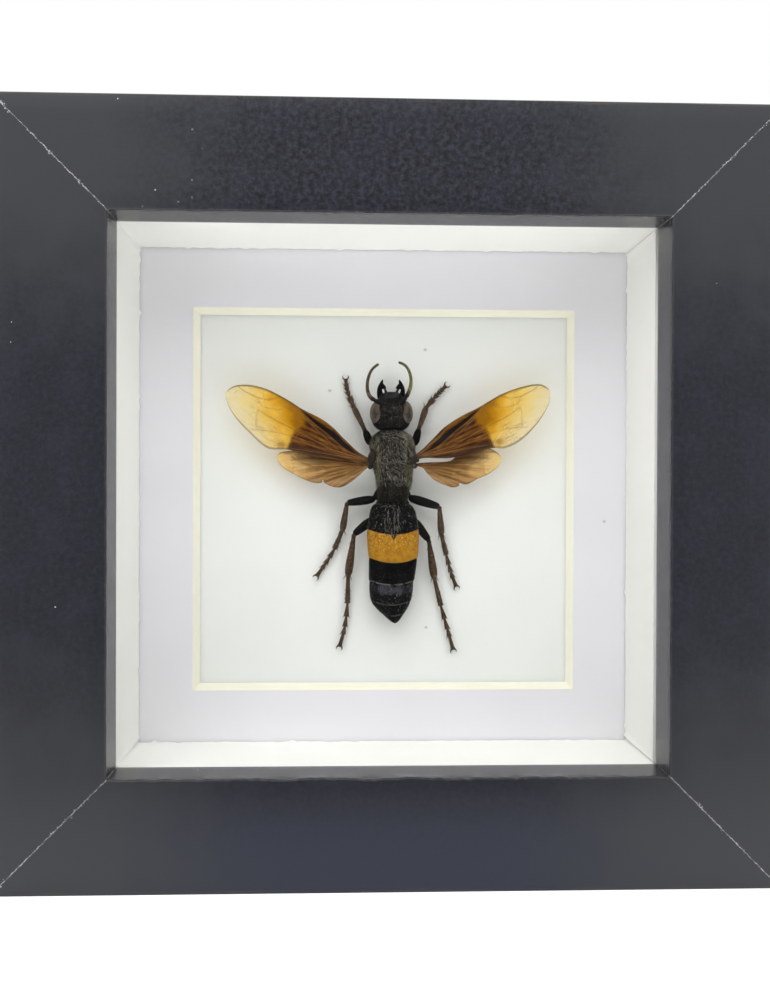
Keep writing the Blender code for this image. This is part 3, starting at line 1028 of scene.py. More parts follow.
@dataclass
class Lining:
    """Four white card strips that lean in towards the mat, with soft, rough-cut corners."""

    front_halves: Row = (53.6, 53.15, 53.6, 53.6)
    back_halves: Row = (52.45, 51.8, 52.0, 51.8)
    outer_half: float = 57.5
    joint: float = 0.01
    steps_along: int = 130
    steps_deep: int = 12
    corner_swell: float = 0.34
    edge_rough: float = 0.16
    finish: CardFinish = CardFinish("white_lining_card", (0.93, 0.925, 0.895), (0.905, 0.9, 0.865))

    def strip(self, side: Side) -> BMesh:
        """One strip, cut at 45 degrees at both ends.

        Args:
            side: the side of the frame.

        Returns:
            The strip's mesh.
        """
        front, back = depth_of("lining_" + side.word)
        bm = bmesh.new()
        front_half, back_half = self.front_halves[side.turns], self.back_halves[side.turns]
        points = [(self.outer_half, front), (front_half, front), (back_half, back), (self.outer_half, back)]
        corners = [bm.verts.new(place(-1.0, depth, -reach)) for reach, depth in points]
        end = bm.faces.new(corners)
        leaning = bm.edges.get((corners[1], corners[2]))
        bmesh.ops.subdivide_edges(bm, edges=[leaning], cuts=self.steps_deep - 1)
        draw_mitred(bm, end, self.steps_along, self.joint)
        self.soften_corners(bm, side, front, back)
        bmesh.ops.transform(bm, matrix=side.turn, verts=bm.verts)
        return bm

    def soften_corners(self, bm: BMesh, side: Side, front: float, back: float) -> None:
        """Swell the corners towards the mat and roughen the two long edges.

        Args:
            bm: the strip's mesh, still at the bottom.
            side: the side that the strip is for.
            front: the depth of its front edge.
            back: the depth of its back edge.
        """
        for vert in bm.verts:
            depth = vert.co.y + FRAME_DEPTH / 2
            reach = FRAME_MIDDLE - vert.co.z
            if reach > self.front_halves[side.turns] + 0.3:
                continue
            share = (depth - front) / (back - front)
            from_corner = reach - abs(vert.co.x)
            radius = mix(0.3, 1.0, share)
            if from_corner < radius:
                inward = self.corner_swell * mix(0.25, 1.0, share) * (1 - from_corner / radius) ** 2
                vert.co.z += inward
                vert.co.x -= math.copysign(inward, vert.co.x)
            rough = noise.noise(Vector((vert.co.x * 0.55, side.value, share * 2.0)))
            notch = noise.noise(Vector((vert.co.x * 2.1, side.value + 9.0, 0.0)))
            at_back = smooth(share, 0.86, 1.0)
            at_front = smooth(share, 0.12, 0.0)
            tear = max(noise.noise(Vector((vert.co.x * 0.9, side.value + 4.0, 0.0))) - 0.22, 0.0)
            vert.co.z += self.edge_rough * (0.5 * rough + at_back * (1.7 * notch + 8.0 * tear) + at_front
                * notch)

    def build(self) -> None:
        """Build and dress the four strips."""
        card = self.finish.build()
        for side in Side:
            finish_piece(f"lining_card_{side.word}", self.strip(side), card,
                [f"lining_{side.word}"], 45.0)


@dataclass
class WindowMat:
    """The window mat: one sheet of mat board with a 45 degree bevel round its window."""

    window_half: float = 40.56
    window_drop: float = 1.04
    corner_round: float = 0.35
    finish: MatFinish = MatFinish("grey_mat_board", (0.828, 0.806, 0.845), (0.8, 0.78, 0.82), tooth=4.0,
        tooth_height=0.014, specks=0.3, spots=((47.2, -5.6),))

    def sheet(self) -> BMesh:
        """The mat: its outer square, extruded inwards at the front and back and bridged.

        Returns:
            The mat's mesh.
        """
        front, back = depth_of("mat_board")
        thick = back - front
        half = half_of("mat_board")
        bm = bmesh.new()
        lie = Matrix.Translation(place(0, front, 0)) @ Matrix.Rotation(math.radians(90), 4, "X")
        bmesh.ops.create_grid(bm, x_segments=1, y_segments=1, size=half, matrix=lie)
        bm.faces.ensure_lookup_table()
        face = bm.faces[0]
        bmesh.ops.inset_individual(bm, faces=[face], thickness=half - self.window_half,
            use_even_offset=True)
        bmesh.ops.translate(bm, vec=(0, 0, -self.window_drop), verts=face.verts)
        rim = list(face.edges)
        bmesh.ops.delete(bm, geom=[face], context="FACES_ONLY")
        inner = bmesh.ops.extrude_edge_only(bm, edges=rim)["geom"]
        verts = points_in(inner)
        middle = place(0, front, -self.window_drop)
        shrink = (self.window_half - thick) / self.window_half
        about = Matrix.Translation(middle)
        size = Matrix.Diagonal((shrink, 1.0, shrink, 1.0))
        bmesh.ops.transform(bm, matrix=about @ size @ about.inverted(), verts=verts)
        bmesh.ops.translate(bm, vec=(0, thick, 0), verts=verts)
        outer = [edge for edge in bm.edges if edge.is_boundary
            and all(abs(v.co.y - middle.y) < 0.01 for v in edge.verts)]
        behind = bmesh.ops.extrude_edge_only(bm, edges=outer)["geom"]
        bmesh.ops.translate(bm, vec=(0, thick, 0), verts=points_in(behind))
        loops = [edge for edge in bm.edges if edge.is_boundary]
        bmesh.ops.bridge_loops(bm, edges=loops)
        upright = [edge for edge in bm.edges if self.is_window_corner(edge, middle)]
        soften(bm, upright, self.corner_round, 3)
        return bm

    def is_window_corner(self, edge: BMEdge, middle: Vector) -> bool:
        """Whether an edge is one of the bevel's four slanting corners.

        Args:
            edge: the edge.
            middle: the window's middle, on the mat's front.

        Returns:
            Whether it is one of them.
        """
        first, last = (vert.co - middle for vert in edge.verts)
        slants = abs(first.y - last.y) > 0.5
        return slants and all(abs(abs(p.x) - abs(p.z)) < 0.01 and abs(p.x) < self.window_half + 1
            for p in (first, last))

    def build(self) -> None:
        """Build and dress the mat."""
        finish_piece("window_mat", self.sheet(), self.finish.build(), ["mat_board"], 30.0)


@dataclass
class BackFittings:
    """The bent tabs that hold the boards in, and the toothed hanger with its two nails."""

    tab_count: int = 8
    head_sides: int = 28
    steel: MetalFinish = MetalFinish("tab_steel", (0.37, 0.375, 0.385), (0.19, 0.18, 0.17), 0.38)
    brass: MetalFinish = MetalFinish("hanger_brass", (0.42, 0.3, 0.125), (0.22, 0.145, 0.065), 0.34)

    def rounded(self, node: str, width: float, degrees: float) -> BMesh:
        """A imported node's shape with its edges rounded.

        Args:
            node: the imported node.
            width: the width of the rounding in millimetres.
            degrees: edges that turn by more than this are rounded.

        Returns:
            The rounded mesh, in millimetres.
        """
        bm = bmesh.new()
        bm.from_mesh(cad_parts[node].data)
        bmesh.ops.scale(bm, vec=(1 / MM, 1 / MM, 1 / MM), verts=bm.verts)
        bmesh.ops.remove_doubles(bm, verts=bm.verts, dist=0.002)
        bmesh.ops.dissolve_limit(bm, angle_limit=math.radians(2), verts=bm.verts, edges=bm.edges)
        soften(bm, sharp_edges(bm, degrees), width, 2)
        return bm

    def nail(self, node: str) -> BMesh:
        """A nail with a domed head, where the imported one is.

        Args:
            node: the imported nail.

        Returns:
            The nail's mesh.
        """
        low, high = (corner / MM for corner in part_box(node))
        x, up = (low.x + high.x) / 2, (low.z + high.z) / 2
        radius = (high.x - low.x) / 2
        run = high.y - low.y
        outline = [(0.02, 0.0), (0.25, 0.5), (0.42, 0.9), (0.42, 0.82 * run), (1.0, 0.83 * run)]
        outline += [(math.cos(a) * 0.98, (0.86 + 0.14 * math.sin(a)) * run)
            for a in (math.radians(15 * k) for k in range(6))]
        bm = bmesh.new()
        verts = [bm.verts.new((x + part * radius, low.y + along, up)) for part, along in outline]
        verts.insert(0, bm.verts.new((x, low.y, up)))
        verts.append(bm.verts.new((x, high.y, up)))
        edges = [bm.edges.new(pair) for pair in zip(verts, verts[1:])]
        bmesh.ops.spin(bm, geom=verts + edges, cent=(x, 0, up), axis=(0, 1, 0), angle=2 * math.pi,
            steps=self.head_sides, use_merge=True)
        return bm

    def build(self) -> None:
        """Build and dress the tabs, the hanger and its nails."""
        steel, brass = self.steel.build(), self.brass.build()
        for number in range(1, self.tab_count + 1):
            node = f"flex_tab_{number}"
            finish_piece(f"bent_tab_{number}", self.rounded(node, 0.12, 40.0), steel, [node],
                35.0)
        finish_piece("toothed_hanger", self.rounded("hanger_plate", 0.08, 60.0), brass,
            ["hanger_plate"], 35.0)
        for side in ("left", "right"):
            node = f"hanger_nail_{side}"
            finish_piece(f"domed_nail_{side}", self.nail(node), brass, [node], 50.0,
                merge=0.002)


@dataclass
class GlueDab:
    """The dried dab that holds the wasp by its thorax: a low dome with a spread foot."""

    centre: Plan = (1.6, 7.0)
    radius: float = 2.2
    height: float = 1.0
    finish: GlueFinish = GlueFinish()

    def dome(self) -> BMesh:
        """The dome, uneven round its foot.

        Returns:
            The dome's mesh.
        """
        bm = bmesh.new()
        bmesh.ops.create_icosphere(bm, subdivisions=4, radius=1.0)
        for vert in bm.verts:
            flat = Vector((vert.co.x, vert.co.z, 0.0))
            spread = 1.0 + 0.1 * noise.noise(flat * 2.3)
            lift = max(-vert.co.y, 0.0)
            out = Vector((vert.co.x, vert.co.z)) * self.radius * spread * 0.96
            vert.co = plan(self.centre[0] + out.x, self.centre[1] + out.y, 0.02 + lift * self.height * 1.28)
        return bm

    def build(self) -> None:
        """Build and dress the dab."""
        finish_piece("glue_dome", self.dome(), self.finish.build(), ["glue_dab"], 80.0, merge=0.0)


@dataclass
class Boards:
    """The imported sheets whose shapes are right: the glass, the white backing and the back."""

    glass: GlassFinish = GlassFinish()
    backing: CardFinish = CardFinish("white_backing_paper", (0.885, 0.89, 0.865), (0.86, 0.865, 0.84),
        tooth=3.2, tooth_height=0.012, specks=0.22, spots=((-11.7, 22.2), (8.7, 31.1), (9.1, -28.5)))
    back: FibreboardFinish = FibreboardFinish()

    def build(self) -> None:
        """Dress the three sheets."""
        dress("glass_pane", self.glass.build())
        dress("backing_board", self.backing.build())
        dress("back_board", self.back.build())


@dataclass(frozen=True)
class ShellFinish:
    """Hard insect shell: near black, with a gloss that its fine pits break up, and pale painted glints."""

    name: str
    dark: Colour = (0.003, 0.0028, 0.0028)
    warm: Colour = (0.009, 0.0068, 0.005)
    roughness: float = 0.28
    coat: float = 0.1
    pits: float = 0.01
    pit_scale: float = 5.0
    dust: float = 0.22
    glints: float = 0.0
    flank: Colour | None = None

    def build(self) -> Material:
        """The shell's material.

        Returns:
            The finished material.
        """
        graph = Look(self.name)
        where = graph.place_mm()
        fine, tone = where.surface(self.pit_scale, 0.55)
        base = graph.blend(tone.span(0.45, 0.75), self.dark, self.warm)
        if self.flank:
            x, _, up = where.split()
            edge = (graph.attribute("lift") + tone.drift(0.07)).span(0.6, 0.82, 1.0, 0.0) * up.span(1.6,
                4.2)
            base = base.covered(edge * fine.span(0.3, 0.6), self.flank)
            off = abs(abs(x - 1.38) - 3.02)
            line = off.span(0.08, 0.3, 1.0, 0.0) * where.noise(0.8, 3.0).span(0.42, 0.58)
            line = line * (up.span(2.6, 4.0) * up.span(11.6, 12.8, 1.0, 0.0))
            base = base.covered(line, (0.115, 0.1, 0.038))
        base = base.covered(where.specks(1.1, 0.07, self.dust) * 0.25, (0.3, 0.27, 0.22))
        # painted glints: pale noise specks in the colour stand in for the shell's specular glints
        glints = where.noise(3.4, 4.0, 0.7).span(0.62, 0.7) * self.glints
        base = base.covered(glints, (0.3, 0.29, 0.28))
        rough = fine.span(0.35, 0.7, -0.06, 0.12) + self.roughness
        return graph.finish(Base_Color=base, Roughness=rough, Specular_IOR_Level=0.04,
            Coat_Weight=self.coat, Coat_Roughness=0.1, Normal=fine.bump(self.pits))


@dataclass(frozen=True)
class PlateFinish:
    """An abdomen plate: black or orange, with a pale rim along its rear edge and, where set, painted glints
    and a painted sheen.
    """

    name: str
    colour: Colour
    second: Colour
    rim: Colour
    rim_share: float
    roughness: float = 0.3
    coat: float = 0.02
    notch: bool = False
    sheen: float = 0.0
    glints: float = 0.0

    def build(self) -> Material:
        """The plate's material.

        Returns:
            The finished material.
        """
        graph = Look(self.name)
        where = graph.place_mm()
        along, lift = graph.attribute("along"), graph.attribute("lift")
        fine, tone = where.surface(4.0, 0.8)
        base = graph.blend(tone.span(0.4, 0.7), self.colour, self.second)
        if self.notch:
            base = self.mark_band(where, base)
        edge = along + where.noise(1.6).drift(0.006)
        rim = edge.span(1.0 - self.rim_share, 1.0 - self.rim_share * 0.4)
        rim = rim * (where.noise(0.55, 2.0).span(0.4, 0.5) * lift.span(0.1, 0.6))
        base = base.covered(rim, self.rim)
        # painted sheen: a dull bluish highlight painted into the colour across the front of the plate
        if self.sheen:
            base = base.covered(self.painted_sheen(where, along, tone), (0.048, 0.048, 0.062))
        # painted glints: pale noise specks in the colour stand in for specular glints
        flat = where.stretched((1.0, 0.15, 1.0))
        glints = flat.noise(3.6, 3.0, 0.7).span(0.6, 0.68) * (tone.span(0.34, 0.6, 0.3, 1.0) * self.glints)
        base = base.covered(glints, (0.27, 0.26, 0.25))
        rough = fine.span(0.35, 0.7, -0.05, 0.1) + self.roughness
        return graph.finish(Base_Color=base, Roughness=rough, Specular_IOR_Level=0.02,
            Coat_Weight=self.coat, Coat_Roughness=0.16, Normal=fine.bump(0.006))

    def painted_sheen(self, where: Wire, along: Wire, tone: Wire) -> Wire:
        """The painted sheen: a dull bluish painted highlight across the front of a plate, strongest in its
        middle.

        Args:
            where: the place in millimetres.
            along: the share along the plate.
            tone: slow unevenness.

        Returns:
            The mask of painted sheen.
        """
        along = along + tone.drift(0.06)
        middle = abs(where.split()[0] - 1.15).span(2.1, 2.6, 1.0, 0.32)
        front = along.span(0.3, 0.37) * along.span(0.56, 0.7, 1.0, 0.0)
        return front * middle * (where.noise(1.3, 3.0).span(0.34, 0.6, 0.55, 1.0) * self.sheen)

    def mark_band(self, where: Wire, base: Wire) -> Wire:
        """Add the orange band's fine brown freckles and its dark notch in front.

        Args:
            where: the place in millimetres.
            base: the band's plain colour.

        Returns:
            The marked colour.
        """
        grain = where.noise(2.5, 4.0, 0.75)
        front = where.split()[2].span(-13.2, -9.2, 0.12, 0.8)
        base = base.covered(grain.span(0.4, 0.49, 1.0, 0.0) * front,
            (0.17, 0.062, 0.008)).covered(grain.span(0.56, 0.66) * front, (0.84, 0.5, 0.12))
        x, _, up = where.split()
        inside = ((up + 9.45) * 0.62 - abs(x - 1.62)).span(-0.02, 0.06)
        return base.covered(inside, (0.055, 0.012, 0.004))


@dataclass(frozen=True)
class EyeFinish:
    """A compound eye: dull grey brown, with painted sheen and shade in rings by how far the surface faces
    out of the board, a tan patch, and a pale painted sheen on its rear lobe.
    """

    name: str = "wasp_eye"
    middle: float = 1.2
    lobe: Plan = (2.35, 15.75)

    def near(self, graph: Graph, across: Wire, y: Wire, spot: Plan, size: float) -> Wire:
        """How near a point lies to a spot, from 0 to 1.

        Args:
            graph: the material's graph.
            across: the distance from the head's middle.
            y: the offset up.
            spot: the spot's own distance and offset.
            size: how far the spot reaches.

        Returns:
            The mask of the spot.
        """
        away = graph.value("CombineXYZ", {0: across - spot[0], 1: (y - spot[1]) * 0.75}).length()
        return away.span(size * 0.45, size, 1.0, 0.0)

    def build(self) -> Material:
        """The eye's material.

        Returns:
            The finished material.
        """
        graph = Look(self.name)
        where = graph.place_mm()
        facets = graph.value("TexVoronoi", {"Vector": where, "Scale": 9.0}, "Distance")
        x, _, y = where.split()
        across = abs(x - self.middle)
        # painted sheen and shade: the colour runs in rings by how far the surface faces out of the board
        rings = graph.attribute("lift") + where.noise(1.3, 3.0).drift(0.1)
        base = rings.ramp([(0.0, (0.016, 0.012, 0.009)), (0.3, (0.06, 0.048, 0.038)),
            (0.46, (0.088, 0.071, 0.057)), (0.56, (0.04, 0.03, 0.023)), (0.7, (0.115, 0.084, 0.06)),
            (0.84, (0.032, 0.025, 0.021)), (1.0, (0.02, 0.016, 0.014))])
        tan = self.near(graph, across, y, (2.85, 17.9), 0.9)
        base = base.covered(tan * 0.42, (0.19, 0.13, 0.085))
        # painted sheen: a pale grey patch on the eye's rear lobe
        lobe = self.near(graph, across, y, self.lobe, 1.15)
        base = base.covered(lobe * 0.7, (0.14, 0.116, 0.104))
        return graph.finish(Base_Color=base, Roughness=0.38, Specular_IOR_Level=0.15, Coat_Weight=0.06,
            Coat_Roughness=0.2, Normal=facets.bump(0.012))


@dataclass(frozen=True)
class LimbFinish:
    """Leg or feeler shell, from black at the root to brown at the end, ringed at its joints, with pale
    painted glints.
    """

    name: str
    root: Colour
    middle: Colour
    tip: Colour
    light: Colour
    roughness: float = 0.38
    ringed: bool = False

    def build(self) -> Material:
        """The limb's material.

        Returns:
            The finished material.
        """
        graph = Look(self.name)
        where = graph.place_mm()
        fine, tone = where.surface(6.0, 0.9)
        along = graph.attribute("along") + tone.span(0.3, 0.7, -0.05, 0.05)
        base = along.ramp([(0.0, self.root), (0.36, self.root), (0.52, self.middle), (1.0, self.tip)])
        if self.ringed:
            joint = graph.attribute("joint")
            base = base.covered(joint * 0.85, shaded(self.middle, 0.14))
        streaks = where.noise(2.6, 5.0, 0.7)
        past = along.span(0.34, 0.46)
        # the last layer is pale fine specks painted in as glints
        base = base.covered(streaks.span(0.52, 0.66, 0.0, 0.75) * past,
            self.light).covered(streaks.span(0.36, 0.47, 0.9, 0.0) * past,
            self.root).covered(fine.span(0.64, 0.72) * 0.35, (0.26, 0.24, 0.22))
        return graph.finish(Base_Color=base, Roughness=self.roughness, Specular_IOR_Level=0.06,
            Coat_Weight=0.02, Coat_Roughness=0.12, Normal=fine.bump(0.035))


@dataclass(frozen=True)
class HairFinish:
    """Dry, pale insect hair that catches the light."""

    name: str = "wasp_hair"
    dark: Colour = (0.01, 0.008, 0.006)
    middle: Colour = (0.13, 0.112, 0.082)
    pale: Colour = (0.6, 0.56, 0.48)
    olive: Colour = (0.12, 0.103, 0.043)
    gold: Colour = (0.25, 0.22, 0.095)

    def build(self) -> Material:
        """The hair's material.

        Returns:
            The finished material.
        """
        graph = Look(self.name)
        shade = graph.attribute("shade")
        cloud = graph.place_mm().noise(1.4, 2.0)
        base = shade.ramp([(0.0, self.dark), (0.3, self.middle), (0.6, self.pale), (0.68, self.dark),
            (0.84, self.olive), (1.0, self.gold)])
        base = base.covered(cloud.span(0.4, 0.7, 0.0, 0.5), self.dark)
        return graph.finish(Base_Color=base, Roughness=0.5, Specular_IOR_Level=0.2)


def plan_axes(along: Vector) -> Matrix:
    """Axes with +Z along a direction and +Y as near as can be to straight out of the board.

    Args:
        along: the direction.

    Returns:
        The axes as a 4x4 matrix.
    """
    out = Vector((0, -1, 0))
    forward = along.normalized()
    if abs(forward.dot(out)) > 0.999:
        out = Vector((0, 0, 1))
    side = out.cross(forward).normalized()
    up = forward.cross(side)
    return Matrix((side, up, forward)).transposed().to_4x4()


def ring_at(where: Vector, axes: Matrix, wide: float, thick: float) -> Matrix:
    """The matrix that makes a unit circle an oval at a place, across its axes."""
    return Matrix.Translation(where) @ axes @ Matrix.Diagonal((wide, thick, 1.0, 1.0))


def path_axes(places: Sequence[Vector], number: int) -> Matrix:
    """The axes along a row of places at one of them."""
    last = len(places) - 1
    return plan_axes(places[min(number + 1, last)] - places[max(number - 1, 0)])


def through(points: Rows, steps: int) -> list[Row]:
    """Points on a smooth open curve through rows of numbers.

    Args:
        points: the rows, each with the same number of numbers.
        steps: how many steps to take between two rows.

    Returns:
        The smooth rows, both ends included.
    """
    rows = [tuple(points[0]), *[tuple(p) for p in points], tuple(points[-1])]
    out = []
    for a, b, c, d in zip(rows, rows[1:], rows[2:], rows[3:]):
        for step in range(steps):
            t = step / steps
            out.append(tuple(0.5 * (2 * q + (r - p) * t + (2 * p - 5 * q + 4 * r - s) * t ** 2
                + (3 * q - p - 3 * r + s) * t ** 3) for p, q, r, s in zip(a, b, c, d)))
    out.append(tuple(points[-1]))
    return out


class Skin:
    """Closed skins drawn through oval rings, whose points know where they are.

    Each point carries how far along it is (along), how far it faces out of the board (lift)
    and whether it lies at a joint (joint).
    """

    def __init__(self) -> None:
        """Start an empty mesh with its three layers."""
        self.bm = bmesh.new()
        layers = self.bm.verts.layers.float
        self.along, self.lift, self.joint = (layers.new(name) for name in ("along", "lift", "joint"))

    def draw(self, rings: Sequence[Matrix], sides: int, shares: Sequence[float],
            joints: Sequence[float] | None = None) -> list[BMVert]:
        """Draw one closed skin through a row of unit circles.

        Args:
            rings: the matrix that places each circle.
            sides: the number of sides of each circle.
            shares: the value of the along layer at each circle.
            joints: the value of the joint layer at each circle.

        Returns:
            The skin's points.
        """
        verts = bmesh.ops.create_circle(self.bm, cap_ends=True, segments=sides, radius=1.0)["verts"]
        for vert in verts:
            vert[self.lift] = vert.co.y
            vert[self.along] = shares[0]
            vert[self.joint] = joints[0] if joints else 0.0
        end = next(face for face in verts[0].link_faces if len(face.verts) == sides)
        bmesh.ops.transform(self.bm, matrix=rings[0], verts=verts)
        made = list(verts)
        for number, (before, after) in enumerate(zip(rings, rings[1:]), 1):
            end = extrude_to(self.bm, end, after @ before.inverted())
            for vert in end.verts:
                vert[self.along] = shares[number]
                vert[self.joint] = joints[number] if joints else 0.0
            made += list(end.verts)
        return made

    def limb(self, points: Rows, sides: int, start: float = 0.0, stop: float = 1.0, flat: float = 1.0,
            joints: Sequence[float] | None = None) -> list[BMVert]:
        """Draw a tapering limb through (x, y, height, radius) points.

        Args:
            points: the points from root to tip.
            sides: the number of sides.
            start: the value of the along layer at the root.
            stop: its value at the tip.
            flat: its thickness as a share of its width.
            joints: the value of the joint layer at each point.

        Returns:
            The limb's points.
        """
        places = [plan(*point[:3]) for point in points]
        last = len(points) - 1
        rings = []
        for i, where in enumerate(places):
            radius = max(points[i][3], 0.004)
            rings.append(ring_at(where, path_axes(places, i), radius, radius * flat))
        shares = [mix(start, stop, i / last) for i in range(last + 1)]
        return self.draw(rings, sides, shares, joints)

    def body(self, stations: Rows, sides: int) -> list[BMVert]:
        """Draw a body along the wasp, from (y, x, height, half width, half thickness) rows.

        Args:
            stations: the rows.
            sides: the number of sides.

        Returns:
            The body's points.
        """
        turn = plan_axes(Vector((0, 0, 1)))
        last = len(stations) - 1
        rings = [ring_at(plan(x, y, height), turn, max(wide, 0.01), max(thick, 0.01))
            for y, x, height, wide, thick in stations]
        return self.draw(rings, sides, [i / last for i in range(last + 1)])

    def ball(self, centre: Sequence[float], radii: Sequence[float], turn: float = 0.0,
            detail: int = 3) -> list[BMVert]:
        """Add an oval ball.

        Args:
            centre: its plan position and height.
            radii: its half sizes along x, y and the height.
            turn: its turn in plan, in degrees.
            detail: how finely it is divided.

        Returns:
            The ball's points.
        """
        verts = bmesh.ops.create_icosphere(self.bm, subdivisions=detail, radius=1.0)["verts"]
        for vert in verts:
            vert[self.lift] = -vert.co.y
        size = Matrix.Diagonal((radii[0], radii[2], radii[1], 1.0))
        stand = Matrix.Translation(plan(*centre)) @ Matrix.Rotation(math.radians(turn), 4, "Y")
        bmesh.ops.transform(self.bm, matrix=stand @ size, verts=verts)
        return verts


def relief(verts: Iterable[BMVert], height: Callable[[float, float, float], float]) -> None:
    """Raise points straight out of the board.

    Args:
        verts: the points.
        height: the rise in millimetres at an x, a y and a height.
    """
    for vert in verts:
        x, y = vert.co.x, vert.co.z - FRAME_MIDDLE
        off = BOARD_FRONT - (vert.co.y + FRAME_DEPTH / 2)
        vert.co.y -= height(x, y, off)


@dataclass
class Thorax:
    """The thorax: collar, humped middle with its seams, wing scales and sloping rear."""

    middle: float = 1.15
    sides: int = 56
    steps: int = 6
    seam_y: float = 6.2
    rear_seam_y: float = 3.1
    shell: ShellFinish = ShellFinish("thorax_shell", dark=(0.0034, 0.0028, 0.0022),
        warm=(0.014, 0.01, 0.0065), roughness=0.5, coat=0.02, pits=0.03, pit_scale=3.0, glints=0.25,
        flank=(0.015, 0.0125, 0.0075))
    scale_shell: ShellFinish = ShellFinish("wing_scale_shell", dark=(0.019, 0.014, 0.011),
        warm=(0.12, 0.103, 0.082), roughness=0.3, coat=0.1, pits=0.006, glints=0.25)

    def stations(self) -> list[Row]:
        """The smooth rows of the thorax, from rear to front.

        Returns:
            The rows.
        """
        return through([(-2.1, 1.55, 4.7, 1.6, 1.0), (-1.4, 1.6, 4.9, 2.9, 2.2),
            (-0.3, 1.65, 5.2, 3.25, 3.0), (1.6, 1.75, 5.4, 3.4, 3.5), (2.9, 1.8, 5.5, 3.6, 3.7),
            (4.6, 1.7, 5.5, 3.8, 3.8), (6.4, 1.55, 5.5, 4.25, 3.9), (8.4, 1.5, 5.5, 4.6, 3.9),
            (10.4, 1.45, 5.4, 4.6, 3.7), (12.0, 1.4, 5.3, 4.15, 3.2), (13.1, 1.35, 5.1, 3.2, 2.3),
            (13.7, 1.3, 5.0, 2.0, 1.4)], self.steps)

    def hump(self, x: float, y: float, off: float) -> float:
        """How far the middle of the back stands up, less its seams.

        Args:
            x: the offset right.
            y: the offset up.
            off: the height above the board.

        Returns:
            The rise in millimetres.
        """
        top = smooth(off, 6.6, 8.2)
        aside = abs(x - self.middle - 0.12)
        hump = 0.3 * smooth(3.05 - aside, 0.0, 0.45) * smooth(y, 2.6, 3.6) * smooth(12.9 - y, 0, 0.8)
        groove = -0.2 * math.exp(-((aside - 3.05) / 0.16) ** 2) * smooth(y, 2.5, 3.5)
        seam = -0.16 * math.exp(-((y - self.seam_y - 0.05 * aside * aside) / 0.14) ** 2)
        rear = -0.22 * math.exp(-((y - self.rear_seam_y + 0.03 * aside * aside) / 0.18) ** 2)
        collar = -0.16 * math.exp(-((y - 12.35 + 0.17 * aside * aside) / 0.15) ** 2)
        rough = 0.05 * noise.noise(Vector((x * 1.9, y * 1.9, off)))
        return top * (hump + groove + seam + rear + collar + rough)

    def build(self) -> None:
        """Build and dress the thorax."""
        skin = Skin()
        verts = skin.body(self.stations(), self.sides)
        relief(verts, self.hump)
        skin.body(through([(-2.6, 1.55, 4.7, 1.2, 1.1), (0.0, 1.6, 4.9, 1.2, 1.1)], 3), 20)
        skin.body(through([(12.0, 1.35, 4.9, 1.5, 1.2), (15.0, 1.3, 4.8, 1.5, 1.2)], 3), 20)
        finish_piece("wasp_thorax", skin.bm, self.shell.build(), ["wasp"], 60.0)
        scales = Skin()
        for x, y, out in ((-2.95, 7.75, -1.0), (5.75, 7.95, 1.0)):
            verts = scales.ball((x, y, 7.9), (0.85, 1.45, 0.85), -10.0 * out, 4)
            relief(verts, lambda u, v, off: -0.16 * math.exp(-((v - y - 1.0) / 0.14) ** 2))
            scales.ball((x + 0.25 * out, y - 1.75, 7.3), (0.6, 0.7, 0.55), -20.0 * out)
            scales.ball((x + 0.75 * out, y - 0.65, 7.35), (0.5, 0.55, 0.5))
            scales.ball((x - 0.15 * out, y + 1.75, 7.3), (0.5, 0.45, 0.5))
        finish_piece("wasp_wing_scales", scales.bm, self.scale_shell.build(), ["wasp"], 80.0)


@dataclass(frozen=True)
class Plate:
    """One plate of the abdomen: its front, its rear at the sides, and its rear's bulge.

    Its front is tucked under the plate before it, and comes up to its full girth over a rise.
    """

    front: float
    rear: float
    bulge: float
    swell: float
    finish: str
    tuck: float = 0.3
    rise: float = 0.7


